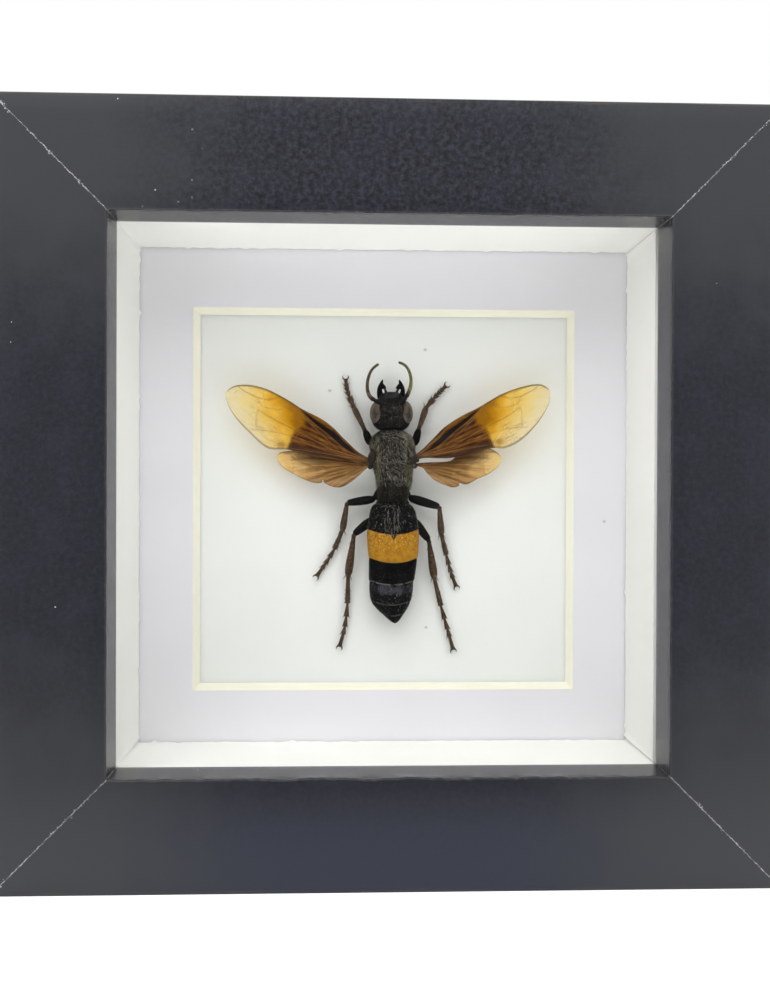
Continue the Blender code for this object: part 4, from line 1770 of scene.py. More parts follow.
@dataclass
class Abdomen:
    """Six overlapping plates, the second one orange, each with a rolled rear edge."""

    sides: int = 64
    steps: int = 24
    plates: tuple[Plate, ...] = (
        Plate(-1.3, -7.1, 1.0, 0.04, "black"),
        Plate(-6.0, -13.0, 1.05, 0.12, "orange"),
        Plate(-12.0, -17.9, 0.85, 0.05, "black_rimmed", rise=0.9),
        Plate(-16.8, -22.2, 0.8, 0.03, "black_painted_sheen", 0.5, 2.2),
        Plate(-21.4, -24.9, 0.5, 0.0, "black_worn"),
        Plate(-24.2, -27.1, 0.1, 0.0, "black"),
    )

    def envelope(self) -> list[Row]:
        """The smooth rows of the whole abdomen, without the steps between its plates.

        Returns:
            The rows.
        """
        return through([(-1.2, 1.5, 4.6, 0.9, 0.8), (-1.5, 1.5, 4.6, 2.6, 2.0),
            (-2.1, 1.5, 4.65, 3.95, 2.9), (-3.2, 1.58, 4.7, 4.65, 3.55), (-4.9, 1.65, 4.75, 5.05, 3.95),
            (-7.2, 1.65, 4.8, 5.35, 4.15), (-10.2, 1.68, 4.8, 5.3, 4.2), (-13.5, 1.7, 4.75, 5.05, 4.05),
            (-18.0, 1.4, 4.6, 4.75, 3.75), (-20.6, 1.32, 4.5, 4.5, 3.5), (-22.6, 1.3, 4.3, 4.1, 3.15),
            (-24.4, 1.6, 4.0, 2.95, 2.35), (-25.9, 1.95, 3.7, 1.65, 1.35), (-26.8, 2.15, 3.55, 0.8, 0.65),
            (-27.1, 2.2, 3.5, 0.3, 0.25)], 8)

    def at(self, rows: Rows, y: float) -> Row:
        """The envelope's x, height, half width and half thickness at a y.

        Args:
            rows: the envelope's rows.
            y: the offset up.

        Returns:
            The four numbers.
        """
        for before, after in zip(rows, rows[1:]):
            if before[0] >= y >= after[0]:
                share = (before[0] - y) / max(before[0] - after[0], 1e-09)
                return tuple(mix(p, q, share) for p, q in zip(before[1:], after[1:]))
        return tuple((rows[-1] if y < rows[-1][0] else rows[0])[1:])

    def plate(self, number: int, rows: Rows) -> Skin:
        """One plate as a closed skin.

        Args:
            number: its place in the row of plates, from 0.
            rows: the abdomen's envelope.

        Returns:
            The plate's skin.
        """
        plate = self.plates[number]
        turn = plan_axes(Vector((0, 0, 1)))
        rings, shares = [], []
        last_plate = plate is self.plates[-1]
        for i in range(self.steps + 1):
            share = i / self.steps
            y = mix(plate.front, plate.rear, share)
            rings.append(self.ring(rows, y, plate.swell * smooth(share, 0.0, 0.35), turn))
            shares.append(share)
        if not last_plate:
            for back, shrink in ((0.07, 0.05), (0.09, 0.14), (0.02, 0.26), (-0.5, 0.55)):
                rings.append(self.ring(rows, plate.rear - back, plate.swell - shrink, turn))
                shares.append(1.0)
        skin = Skin()
        for vert in skin.draw(rings, self.sides, shares):
            lift = max(vert[skin.lift], 0.0)
            y = vert.co.z - FRAME_MIDDLE
            x, height, _, _ = self.at(rows, y)
            vert.co.z -= plate.bulge * lift ** 2 * vert[skin.along]
            if number:
                before = self.plates[number - 1]
                past = before.rear - before.bulge * lift ** 2 - (vert.co.z - FRAME_MIDDLE)
                centre = plan(x, vert.co.z - FRAME_MIDDLE, height)
                inward = (centre - vert.co).normalized()
                vert.co += inward * plate.tuck * mix(0.3, 1.0, lift) * (1 - smooth(past, 0.0, plate.rise))
        return skin

    def ring(self, rows: Rows, y: float, grow: float, turn: Matrix) -> Matrix:
        """The matrix that places a unit circle on the envelope, grown by a width."""
        x, height, wide, thick = self.at(rows, y)
        return ring_at(plan(x, y, height), turn, max(wide + grow, 0.02), max(thick + grow, 0.02))

    def finishes(self) -> dict[str, Material]:
        """The plates' materials by name.

        Returns:
            The materials.
        """
        black = (0.0007, 0.0007, 0.001)
        brown = (0.0026, 0.0022, 0.0022)
        return {
            "black": PlateFinish("black_plate", black, brown, black, 0.02, glints=0.85).build(),
            "black_rimmed": PlateFinish("rimmed_black_plate", black, brown, (0.125, 0.12, 0.11), 0.04,
                glints=0.22).build(),
            "black_painted_sheen": PlateFinish("black_plate_painted_sheen", black, brown, (0.06, 0.057, 0.054), 0.04, sheen=1.0,
                glints=0.8).build(),
            "black_worn": PlateFinish("worn_black_plate", black, brown, (0.05, 0.047, 0.042), 0.05,
                glints=1.0).build(),
            "orange": PlateFinish("orange_plate", (0.395, 0.188, 0.016), (0.3, 0.135, 0.01),
                (0.3, 0.16, 0.03), 0.03, 0.46, 0.04, notch=True).build(),
        }

    def build(self) -> None:
        """Build and dress the six plates."""
        rows = self.envelope()
        finishes = self.finishes()
        for number, plate in enumerate(self.plates):
            skin = self.plate(number, rows)
            finish_piece(f"wasp_abdomen_plate_{number + 1}", skin.bm, finishes[plate.finish],
                ["wasp"], 50.0)


@dataclass
class Head:
    """The head: capsule, kidney eyes, simple eyes, shield, feeler sockets and toothed jaws."""

    middle: float = 1.2
    shell: ShellFinish = ShellFinish("head_shell", dark=(0.0028, 0.0026, 0.0026),
        warm=(0.007, 0.0056, 0.0046), roughness=0.34, coat=0.03, pits=0.016, glints=0.75)
    # the shield's dark grey colour paints in the soft sheen of a black shield
    shield: ShellFinish = ShellFinish("face_shield_shell", dark=(0.017, 0.0175, 0.018),
        warm=(0.028, 0.028, 0.0275), roughness=0.5, coat=0.02, pits=0.01, dust=0.1)
    eye: EyeFinish = EyeFinish()

    def capsule(self) -> Skin:
        """The head's capsule with its simple eyes and feeler sockets.

        Returns:
            The skin.
        """
        skin = Skin()
        rows = through([(13.45, 1.25, 4.6, 1.9, 0.9), (13.7, 1.25, 4.6, 2.75, 1.8),
            (14.5, 1.25, 4.6, 3.65, 2.4), (15.7, 1.2, 4.6, 4.1, 2.9), (17.3, 1.2, 4.6, 4.05, 3.05),
            (18.8, 1.2, 4.5, 3.45, 2.8), (20.2, 1.2, 4.2, 2.75, 2.15), (21.2, 1.2, 3.9, 2.1, 1.4),
            (21.7, 1.2, 3.7, 1.5, 0.8)], 5)
        verts = skin.body(rows, 48)
        relief(verts, lambda x, y, off: -0.35 * smooth(off, 6, 7.2)
            * math.exp(-(((x - self.middle) / 0.9) ** 2 + ((y - 18.2) / 0.9) ** 2)))
        for x, y in ((0.55, 15.6), (1.9, 15.6), (1.22, 16.35)):
            skin.ball((x, y, 7.55), (0.24, 0.24, 0.24), detail=2)
        for x in (0.05, 2.4):
            skin.ball((x, 18.75, 6.85), (0.55, 0.5, 0.4), detail=3)
        return skin

    def eyes(self) -> Skin:
        """Both eyes, each with a dent on its inner side.

        Returns:
            The skin.
        """
        skin = Skin()
        for centre_x, inward in ((-1.85, 1.0), (4.3, -1.0)):
            verts = skin.ball((centre_x, 17.3, 5.15), (1.46, 2.45, 2.35), 5.0 * inward, 4)
            for vert in verts:
                x, y = vert.co.x, vert.co.z - FRAME_MIDDLE
                inner = (x - centre_x) * inward
                dent = 0.62 * smooth(inner, 0.1, 1.2) * math.exp(-((y - 18.1) / 0.75) ** 2)
                vert.co.x -= dent * inward
        return skin

    def face_shield(self) -> BMesh:
        """The black shield in front of the head, with a hollow front edge.

        Returns:
            The shield's mesh.
        """
        skin = Skin()
        verts = skin.ball((self.middle, 20.6, 5.15), (1.62, 1.75, 1.15), detail=5)
        for vert in verts:
            x, y = vert.co.x - self.middle, vert.co.z - FRAME_MIDDLE
            ahead = smooth(y, 20.6, 22.1)
            horn = 0.75 * math.exp(-((abs(x) - 1.12) / 0.26) ** 2)
            vert.co.z -= ahead * (0.85 * max(0.0, 1 - (x / 1.2) ** 2) - horn)
            wide = 1 + 0.18 * smooth(y, 20.4, 21.6)
            vert.co.x = self.middle + x * wide
        return skin.bm

    def jaw(self, inward: float) -> BMesh:
        """One jaw: a curved blade with a broad inner tooth.

        Args:
            inward: +1 for the left jaw, whose tip points right, or -1.

        Returns:
            The jaw's mesh.
        """
        outline = [(-2.75, 20.1), (-2.95, 21.3), (-2.9, 22.35), (-2.55, 23.3), (-1.85, 24.3), (-1.65, 24.1),
            (-1.65, 23.5), (-1.25, 23.05), (-1.0, 22.55), (-1.45, 22.25), (-1.5, 21.6), (-1.35, 20.9),
            (-1.6, 20.2)]
        points = through(outline + outline[:1], 3)[:-1]
        bm = bmesh.new()
        face = bm.faces.new([bm.verts.new(plan(self.middle + x * inward, y, 4.05)) for x, y in points])
        extrude_to(bm, face, Vector((0, 1.15, 0)))
        rims = [edge for edge in bm.edges if abs(edge.verts[0].co.y - edge.verts[1].co.y) < 0.01]
        soften(bm, rims, 0.22, 3)
        return bm

    def build(self) -> None:
        """Build and dress the head."""
        finish_piece("wasp_head", self.capsule().bm, self.shell.build(), ["wasp"], 60.0)
        finish_piece("wasp_eyes", self.eyes().bm, self.eye.build(), ["wasp"], 80.0)
        finish_piece("wasp_face_shield", self.face_shield(), self.shield.build(), ["wasp"],
            80.0)
        # two small pale balls at the jaw bases make the bright white spots there
        joints = Skin()
        for hand in (-1.0, 1.0):
            joints.ball((self.middle + hand * 1.7, 21.75, 5.75), (0.2, 0.46, 0.22), 16.0 * hand, 3)
        pale = CardFinish("pale_jaw_spot", (0.8, 0.8, 0.82), (0.62, 0.6, 0.6), tooth=7.0, specks=0.0,
            roughness=0.45)
        finish_piece("wasp_jaw_pale_spots", joints.bm, pale.build(), ["wasp"], 80.0)
        jaw_shell = ShellFinish("jaw_shell", roughness=0.2, coat=0.12, pits=0.012, glints=0.4).build()
        for side, inward in (("left", 1.0), ("right", -1.0)):
            finish_piece(f"wasp_jaw_{side}", self.jaw(inward), jaw_shell, ["wasp"], 50.0)


@dataclass(frozen=True)
class LegPath:
    """A leg's route through (x, y, height): hip, knee, ankle and the foot's bends."""

    name: str
    hip: tuple[Point, ...]
    knee: Point
    ankle: Point
    foot: tuple[Point, ...]
    thigh: float = 0.78
    shin: float = 0.66


@dataclass
class Legs:
    """Six legs: thick black thighs, clubbed brown shins with spines, five-jointed feet, claws."""

    sides: int = 14
    spine_sides: int = 4
    foot_shares: Row = (0.4, 0.18, 0.14, 0.1, 0.18)
    foot_radii: Row = (0.55, 0.58, 0.56, 0.54, 0.44)
    claw_length: float = 0.95
    paths: tuple[LegPath, ...] = (
        LegPath("front_left", ((-1.4, 9.4, 3.3), (-3.1, 10.7, 3.2)), (-4.25, 13.5, 3.9), (-6.55, 18.4, 1.9),
            ((-7.95, 21.9, 1.2), (-8.3, 24.5, 0.9)), 0.86, 0.66),
        LegPath("front_right", ((4.5, 9.4, 3.3), (6.2, 10.6, 3.2)), (7.1, 13.9, 3.9), (8.75, 18.5, 1.9),
            ((10.8, 20.95, 1.3), (13.0, 23.2, 0.9)), 0.86, 0.7),
        LegPath("middle_left", ((0.2, 2.2, 2.6), (-2.2, -0.9, 2.9)), (-8.0, -1.75, 4.0), (-8.9, -7.5, 1.9),
            ((-10.5, -11.4, 1.2), (-12.7, -15.0, 0.9), (-14.3, -17.3, 0.9)), 0.95, 0.72),
        LegPath("middle_right", ((3.2, 2.2, 2.6), (5.2, -0.6, 2.9)), (11.5, -2.5, 4.0), (12.15, -8.4, 1.9),
            ((12.9, -11.4, 1.4), (14.2, -16.3, 1.1), (15.4, -19.5, 0.9)), 1.0, 0.72),
        LegPath("hind_left", ((0.4, 0.6, 2.6), (-2.6, -5.2, 2.9)), (-6.5, -8.35, 3.3), (-7.7, -17.1, 1.7),
            ((-7.75, -22.5, 1.3), (-8.3, -27.9, 1.1), (-9.4, -32.3, 0.9)), 0.98, 0.86),
        LegPath("hind_right", ((3.0, 0.6, 2.6), (5.9, -5.1, 2.9)), (9.35, -9.6, 3.3), (10.65, -17.6, 1.7),
            ((12.0, -23.2, 1.3), (13.35, -27.9, 1.1), (14.8, -33.0, 0.9)), 0.98, 0.86),
    )
    finish: LimbFinish = LimbFinish("leg_shell", (0.0024, 0.002, 0.0019), (0.058, 0.034, 0.019),
        (0.068, 0.038, 0.02), (0.25, 0.168, 0.1))

    def between(self, start: Sequence[float], end: Sequence[float], radii: Sequence[Plan],
            bow: float = 0.0) -> list[Row]:
        """Rows of a straight or bowed segment.

        Args:
            start: where it starts.
            end: where it ends.
            radii: its radius at each share of its length.
            bow: how far its middle stands off the straight line, away from the board.

        Returns:
            Its (x, y, height, radius) rows.
        """
        rows = []
        for share, radius in through(radii, 3):
            x, y, height = (mix(a, b, share) for a, b in zip(start, end))
            rows.append((x, y, height + bow * 4 * share * (1 - share), radius))
        return rows

    def spine(self, skin: Skin, root: Vector, way: Vector, length: float, radius: float,
            along: float) -> None:
        """Add one thin spine.

        Args:
            skin: the legs' skin.
            root: its root as plan position and height.
            way: its direction.
            length: its length.
            radius: its radius at the root.
            along: the value of the along layer.
        """
        tip = root + way.normalized() * length
        rows = [(*root, radius), (*root.lerp(tip, 0.5), radius * 0.62), (*tip, 0.015)]
        skin.limb(rows, self.spine_sides, along, along)

    def shin_spines(self, skin: Skin, path: LegPath, rng: random.Random) -> None:
        """Add the spines along a shin and the two spurs at its end.

        Args:
            skin: the leg's skin.
            path: the leg's joints.
            rng: the source of chance.
        """
        knee, ankle = Vector(path.knee), Vector(path.ankle)
        run = (ankle - knee).normalized()
        side = Vector((-run.y, run.x, 0.0))
        for k in range(9):
            share = mix(0.2, 0.95, k / 8)
            hand = 1 if k % 2 else -1
            root = knee.lerp(ankle, share) + side * hand * path.shin * 0.55
            self.spine(skin, root, run * 1.3 + side * hand * 0.75, mix(0.45, 0.7, rng.random()), 0.07, 0.72)
        for hand in (-1, 1):
            root = ankle + side * hand * path.shin * 0.45
            self.spine(skin, root, run * 1.5 + side * hand * 0.8, 1.35, 0.13, 0.85)

    def foot(self, skin: Skin, path: LegPath, rng: random.Random) -> None:
        """Add the five joints of a foot, their spines and the two claws.

        Args:
            skin: the legs' skin.
            path: the leg's route.
            rng: the source of small differences.
        """
        route = [Vector(p) for p in through([path.ankle, *path.foot], 10)]
        lengths = [0.0]
        for a, b in zip(route, route[1:]):
            lengths.append(lengths[-1] + (b - a).length)

        def at(share: float) -> Vector:
            """The route's point at a share of its length.

            Args:
                share: the share, from 0 to 1.

            Returns:
                The point.
            """
            goal = share * lengths[-1]
            for i in range(1, len(route)):
                if lengths[i] >= goal:
                    span = max(lengths[i] - lengths[i - 1], 1e-09)
                    return route[i - 1].lerp(route[i], (goal - lengths[i - 1]) / span)
            return route[-1]

        share = 0.0
        for number, part in enumerate(self.foot_shares):
            start, end = at(max(share - 0.012, 0.0)), at(share + part)
            widest = self.foot_radii[number]
            slim = widest * (0.78 if number in (0, 4) else 0.46)
            radii = [(0.0, slim * 0.8), (0.1, slim), (0.5, mix(slim, widest, 0.45)), (0.88, widest),
                (0.97, widest * 0.98), (1.0, widest * 0.45)]
            skin.limb(self.between(start, end, radii), 10, 0.74 + 0.05 * number, 0.79 + 0.05 * number)
            run = (end - start).normalized()
            side = Vector((-run.y, run.x, 0.0))
            rows = 4 if number == 0 else 1
            for k in range(rows):
                for hand in (-1, 1):
                    root = start.lerp(end, mix(0.35, 0.9, (k + 1) / rows)) + side * hand * widest * 0.6
                    self.spine(skin, root, run + side * hand * 0.75, mix(0.5, 0.8, rng.random()), 0.14, 0.9)
            share += part
        end = at(1.0)
        run = (end - at(0.95)).normalized()
        side = Vector((-run.y, run.x, 0.0))
        skin.ball((*end,), (0.2, 0.2, 0.16), detail=2)
        for hand in (-1, 1):
            size = self.claw_length
            claw = [(*end, 0.19), (*end + run * 0.14 * size + side * hand * 0.34 * size, 0.17),
                (*end + run * 0.48 * size + side * hand * 0.66 * size, 0.13),
                (*end + run * 0.98 * size + side * hand * 0.52 * size + Vector((0, 0, -0.3)), 0.03)]
            skin.limb(through(claw, 3), 6, 0.95, 1.0)

    def leg(self, path: LegPath) -> Skin:
        """One leg.

        Args:
            path: its route.

        Returns:
            The leg's skin.
        """
        skin = Skin()
        rng = random.Random(path.name)
        hip, joint = path.hip
        thigh, shin = path.thigh, path.shin
        skin.limb(self.between(hip, joint, [(0, 0.9), (0.5, 0.95), (0.9, 0.7), (1, 0.5)]), self.sides, 0.0,
            0.08)
        skin.limb(self.between(joint, path.knee, [(0.0, 0.45), (0.06, thigh * 0.75), (0.3, thigh),
            (0.65, thigh * 0.92), (0.93, thigh * 0.7), (1.0, 0.36)], 0.25), self.sides, 0.05, 0.34)
        skin.limb(self.between(path.knee, path.ankle, [(-0.015, 0.28), (0.03, 0.5), (0.12, 0.46),
            (0.4, shin * 0.8), (0.72, shin), (0.93, shin * 0.92), (1.0, shin * 0.6)], 0.12), self.sides,
            0.4, 0.7)
        self.shin_spines(skin, path, rng)
        self.foot(skin, path, rng)
        return skin

    def build(self) -> None:
        """Build and dress the six legs."""
        shell = self.finish.build()
        for path in self.paths:
            finish_piece(f"wasp_leg_{path.name}", self.leg(path).bm, shell, ["wasp"], 60.0)


@dataclass
class Feelers:
    """Two ringed feelers, each a thick root joint, a bead and ten barrel joints."""

    sides: int = 14
    joints: int = 11
    left: tuple[Row, ...] = ((-0.05, 18.75, 6.4), (-1.5, 19.35, 6.7), (-2.55, 19.85, 6.6),
        (-3.35, 20.6, 6.5), (-3.8, 21.7, 6.3), (-3.88, 23.1, 6.1), (-3.6, 24.7, 5.9), (-2.85, 26.3, 5.7),
        (-1.5, 27.45, 5.6))
    right: tuple[Row, ...] = ((2.4, 18.75, 6.4), (3.65, 19.75, 6.7), (4.3, 20.6, 6.6), (4.85, 21.7, 6.5),
        (5.2, 23.0, 6.3), (5.25, 24.4, 6.1), (4.85, 26.0, 5.9), (4.0, 27.2, 5.7), (2.65, 27.85, 5.6))
    brown: LimbFinish = LimbFinish("brown_feeler_shell", (0.006, 0.0042, 0.0034), (0.105, 0.067, 0.038),
        (0.06, 0.04, 0.025), (0.26, 0.19, 0.12), ringed=True)
    olive: LimbFinish = LimbFinish("olive_feeler_shell", (0.007, 0.0052, 0.004), (0.165, 0.15, 0.062),
        (0.09, 0.08, 0.036), (0.33, 0.31, 0.17), ringed=True)

    def feeler(self, points: Rows) -> Skin:
        """One feeler.

        Args:
            points: its route from root to tip.

        Returns:
            The feeler's skin.
        """
        skin = Skin()
        root = through(points[:3], 8)
        radii = [0.34 + 0.17 * math.sin(math.pi * min(i / (len(root) - 1) * 1.05, 1.0))
            for i in range(len(root))]
        skin.limb([(*p, r) for p, r in zip(root, radii)], self.sides, 0.0, 0.3)
        skin.ball(points[2], (0.34, 0.34, 0.34), detail=3)
        whip = through(points[2:], 24)
        rows, rings = [], []
        for i, point in enumerate(whip):
            share = i / (len(whip) - 1)
            phase = share * self.joints % 1.0
            near = max(0.0, 1 - min(phase, 1 - phase) / 0.13)
            radius = mix(0.55, 0.28, share ** 0.5) * (1 - 0.22 * near)
            if share > 0.985:
                radius *= 0.55
            rows.append((*point, radius))
            rings.append(near)
        skin.limb(rows, self.sides, 0.35, 1.0, joints=rings)
        return skin

    def build(self) -> None:
        """Build and dress both feelers."""
        for name, points, finish in (("left", self.left, self.brown), ("right", self.right, self.olive)):
            finish_piece(f"wasp_feeler_{name}", self.feeler(points).bm, finish.build(),
                ["wasp"], 60.0)


@dataclass(frozen=True)
class WingMarks:
    """How strong each marking is at a point of a wing, from 0 to 1."""

    streak: float = 0.0
    smoky: float = 0.0
    vein: float = 0.0
    rim: float = 0.0
    patch: float = 0.0
    fold: float = 0.0


@dataclass(frozen=True)
class WingFinish:
    """A thin amber membrane that tints the light passing through it."""

    name: str
    vein: Colour = (0.5, 0.27, 0.06)
    rim: Colour = (0.21, 0.13, 0.05)

    def build(self) -> Material:
        """The wing's material.

        Returns:
            The finished material.
        """
        graph = Look(self.name)
        where = graph.place_mm()
        span, chord = graph.attribute("span"), graph.attribute("chord")
        across = graph.value("CombineXYZ", {0: span * 2.4, 1: chord / (span + 0.09) * 17.0})
        fibres = across.noise(1.0, 4.0, 0.6)
        fine = where.noise(2.2, 4.0)
        base, cover = self.paint(graph, where, fibres, fine)
        vein, rim = graph.attribute("vein"), graph.attribute("rim")
        base = base.covered(rim * 0.85, self.rim)
        cover = cover.most((vein * 0.25).most(rim) * 0.7)
        ripples = fibres * 0.7 + fine * 0.5
        graph.mix_out(cover, graph.add("BsdfTransparent", {"Color": base}), graph.shader)
        return graph.finish(Base_Color=base, Roughness=fine.span(0.3, 0.7, 0.26, 0.4),
            Specular_IOR_Level=0.08, Normal=ripples.bump(0.06))

    def paint(self, graph: Graph, where: Wire, fibres: Wire, fine: Wire) -> tuple[Wire, Wire]:
        """The membrane's colour and cover; each wing's finish gives its own.

        Args:
            graph: the material's graph.
            where: the place in millimetres.
            fibres: streaks that fan out from the wing's base.
            fine: fine unevenness.

        Returns:
            The colour and how much light the membrane stops.
        """
        raise NotImplementedError


@dataclass(frozen=True)
class ForeWingFinish(WingFinish):
    """A fore wing: smoky brown base with a black streak, then gold, paling to straw."""

    streak: Colour = (0.006, 0.0026, 0.002)
    smoke: Colour = (0.04, 0.0095, 0.0012)
    smoke_light: Colour = (0.215, 0.072, 0.0075)
    root: Colour = (0.075, 0.034, 0.015)
    patch: Colour = (0.44, 0.23, 0.02)
    fold: Colour = (0.055, 0.022, 0.011)

    def paint(self, graph: Graph, where: Wire, fibres: Wire, fine: Wire) -> tuple[Wire, Wire]:
        """Gold beyond the middle, smoke and the black streak before it.

        Args:
            graph: the material's graph.
            where: the place in millimetres.
            fibres: streaks that fan out from the wing's base.
            fine: fine unevenness.

        Returns:
            The colour and how much light the membrane stops.
        """
        span, chord = graph.attribute("span"), graph.attribute("chord")
        drift = where.noise(0.3, 3.0).drift(0.09)
        rearward = (chord * -1.0).most(0.0)
        paler = span.span(0.5, 0.95, soft=False) + (rearward * 3.4 - chord.most(0.0) * 1.4)
        base = (paler + drift).ramp([(0.0, (0.46, 0.205, 0.004)), (0.1, (0.62, 0.325, 0.006)),
            (0.22, (0.78, 0.47, 0.02)), (0.36, (0.9, 0.65, 0.12)), (0.52, (0.94, 0.76, 0.29)),
            (0.72, (0.94, 0.82, 0.48)), (1.0, (0.94, 0.87, 0.68))])
        smoke = graph.blend(fibres.span(0.42, 0.66), self.smoke, self.smoke_light)
        smoke = smoke.covered(span.span(0.02, 0.16, 0.8, 0.0), self.root)
        smoky = (graph.attribute("smoky") + (fine.drift(0.14) + drift * 1.4)).span(0.06, 0.86)
        base = base.covered(smoky, smoke).covered(graph.attribute("patch") * 0.85, self.patch)
        creases = graph.value("CombineXYZ", {0: span * 9.0, 1: chord * 60.0}).noise(1.0, 4.0,
            0.65).span(0.5, 0.68, 0.0, 0.3)
        creases = creases * span.span(0.6, 0.85, 1.0, 0.25)
        base = base.covered(creases.most(graph.attribute("vein") * 0.16),
            self.vein).covered(graph.attribute("fold") * fibres.span(0.3, 0.58, 0.55, 1.0),
            self.fold).covered(graph.attribute("streak"), self.streak)
        cover = paler.span(0.0, 0.8, 0.45, 0.14)
        for mask in (smoky * 0.86, graph.attribute("streak"), graph.attribute("fold") * 0.85):
            cover = cover.most(mask)
        return base, cover.least(0.97)


@dataclass(frozen=True)
class HindWingFinish(WingFinish):
    """A hind wing: tan and brown streaks that fan out from its base to a yellower tip."""

    streak: Colour = (0.085, 0.032, 0.01)

    def paint(self, graph: Graph, where: Wire, fibres: Wire, fine: Wire) -> tuple[Wire, Wire]:
        """Tan, darker towards the fore wing, with brown streaks.

        Args:
            graph: the material's graph.
            where: the place in millimetres.
            fibres: streaks that fan out from the wing's base.
            fine: fine unevenness.

        Returns:
            The colour and how much light the membrane stops.
        """
        span, across = graph.attribute("span"), graph.attribute("across")
        drift = where.noise(0.45, 3.0).drift(0.1)
        base = (span + drift).ramp([(0.0, (0.17, 0.08, 0.028)), (0.2, (0.3, 0.15, 0.045)),
            (0.42, (0.52, 0.29, 0.09)), (0.62, (0.8, 0.54, 0.22)), (0.82, (0.94, 0.75, 0.41)),
            (1.0, (0.97, 0.84, 0.52))])
        lobe = across.span(0.1, 0.42, 1.0, 0.0) * span.span(0.5, 0.75, 0.8, 0.0)
        base = base.covered(lobe, (0.6, 0.37, 0.17))
        upper = (across + drift).span(0.55, 0.92) * span.span(0.6, 0.92, 1.0, 0.0)
        base = base.covered(upper * 0.88, (0.12, 0.042, 0.012))
        dark = fibres.span(0.44, 0.58) * span.span(0.4, 0.9, 0.8, 0.04)
        base = base.covered(dark, self.streak).covered(graph.attribute("vein") * 0.5,
            self.vein).covered(graph.attribute("streak"), self.streak)
        cover = span.span(0.2, 0.9, 0.62, 0.22)
        return base, cover.most(dark.most(graph.attribute("streak")) * 0.9)


@dataclass(frozen=True)
class VeinFinish:
    """Wing veins: tan at the base, thin and darker brown further out."""

    name: str = "wing_vein"

    def build(self) -> Material:
        """The veins' material.

        Returns:
            The finished material.
        """
        graph = Look(self.name)
        where = graph.place_mm()
        fine, tone = where.surface(5.0, 0.7)
        along = graph.attribute("along") + tone.drift(0.08)
        base = along.ramp([(0.0, (0.05, 0.024, 0.012)), (0.1, (0.24, 0.11, 0.036)),
            (0.28, (0.15, 0.064, 0.018)), (0.46, (0.22, 0.1, 0.018)), (0.56, (0.13, 0.062, 0.01)),
            (0.8, (0.17, 0.098, 0.026)), (1.0, (0.16, 0.1, 0.04))])
        return graph.finish(Base_Color=base, Roughness=0.45, Specular_IOR_Level=0.1, Normal=fine.bump(0.02))


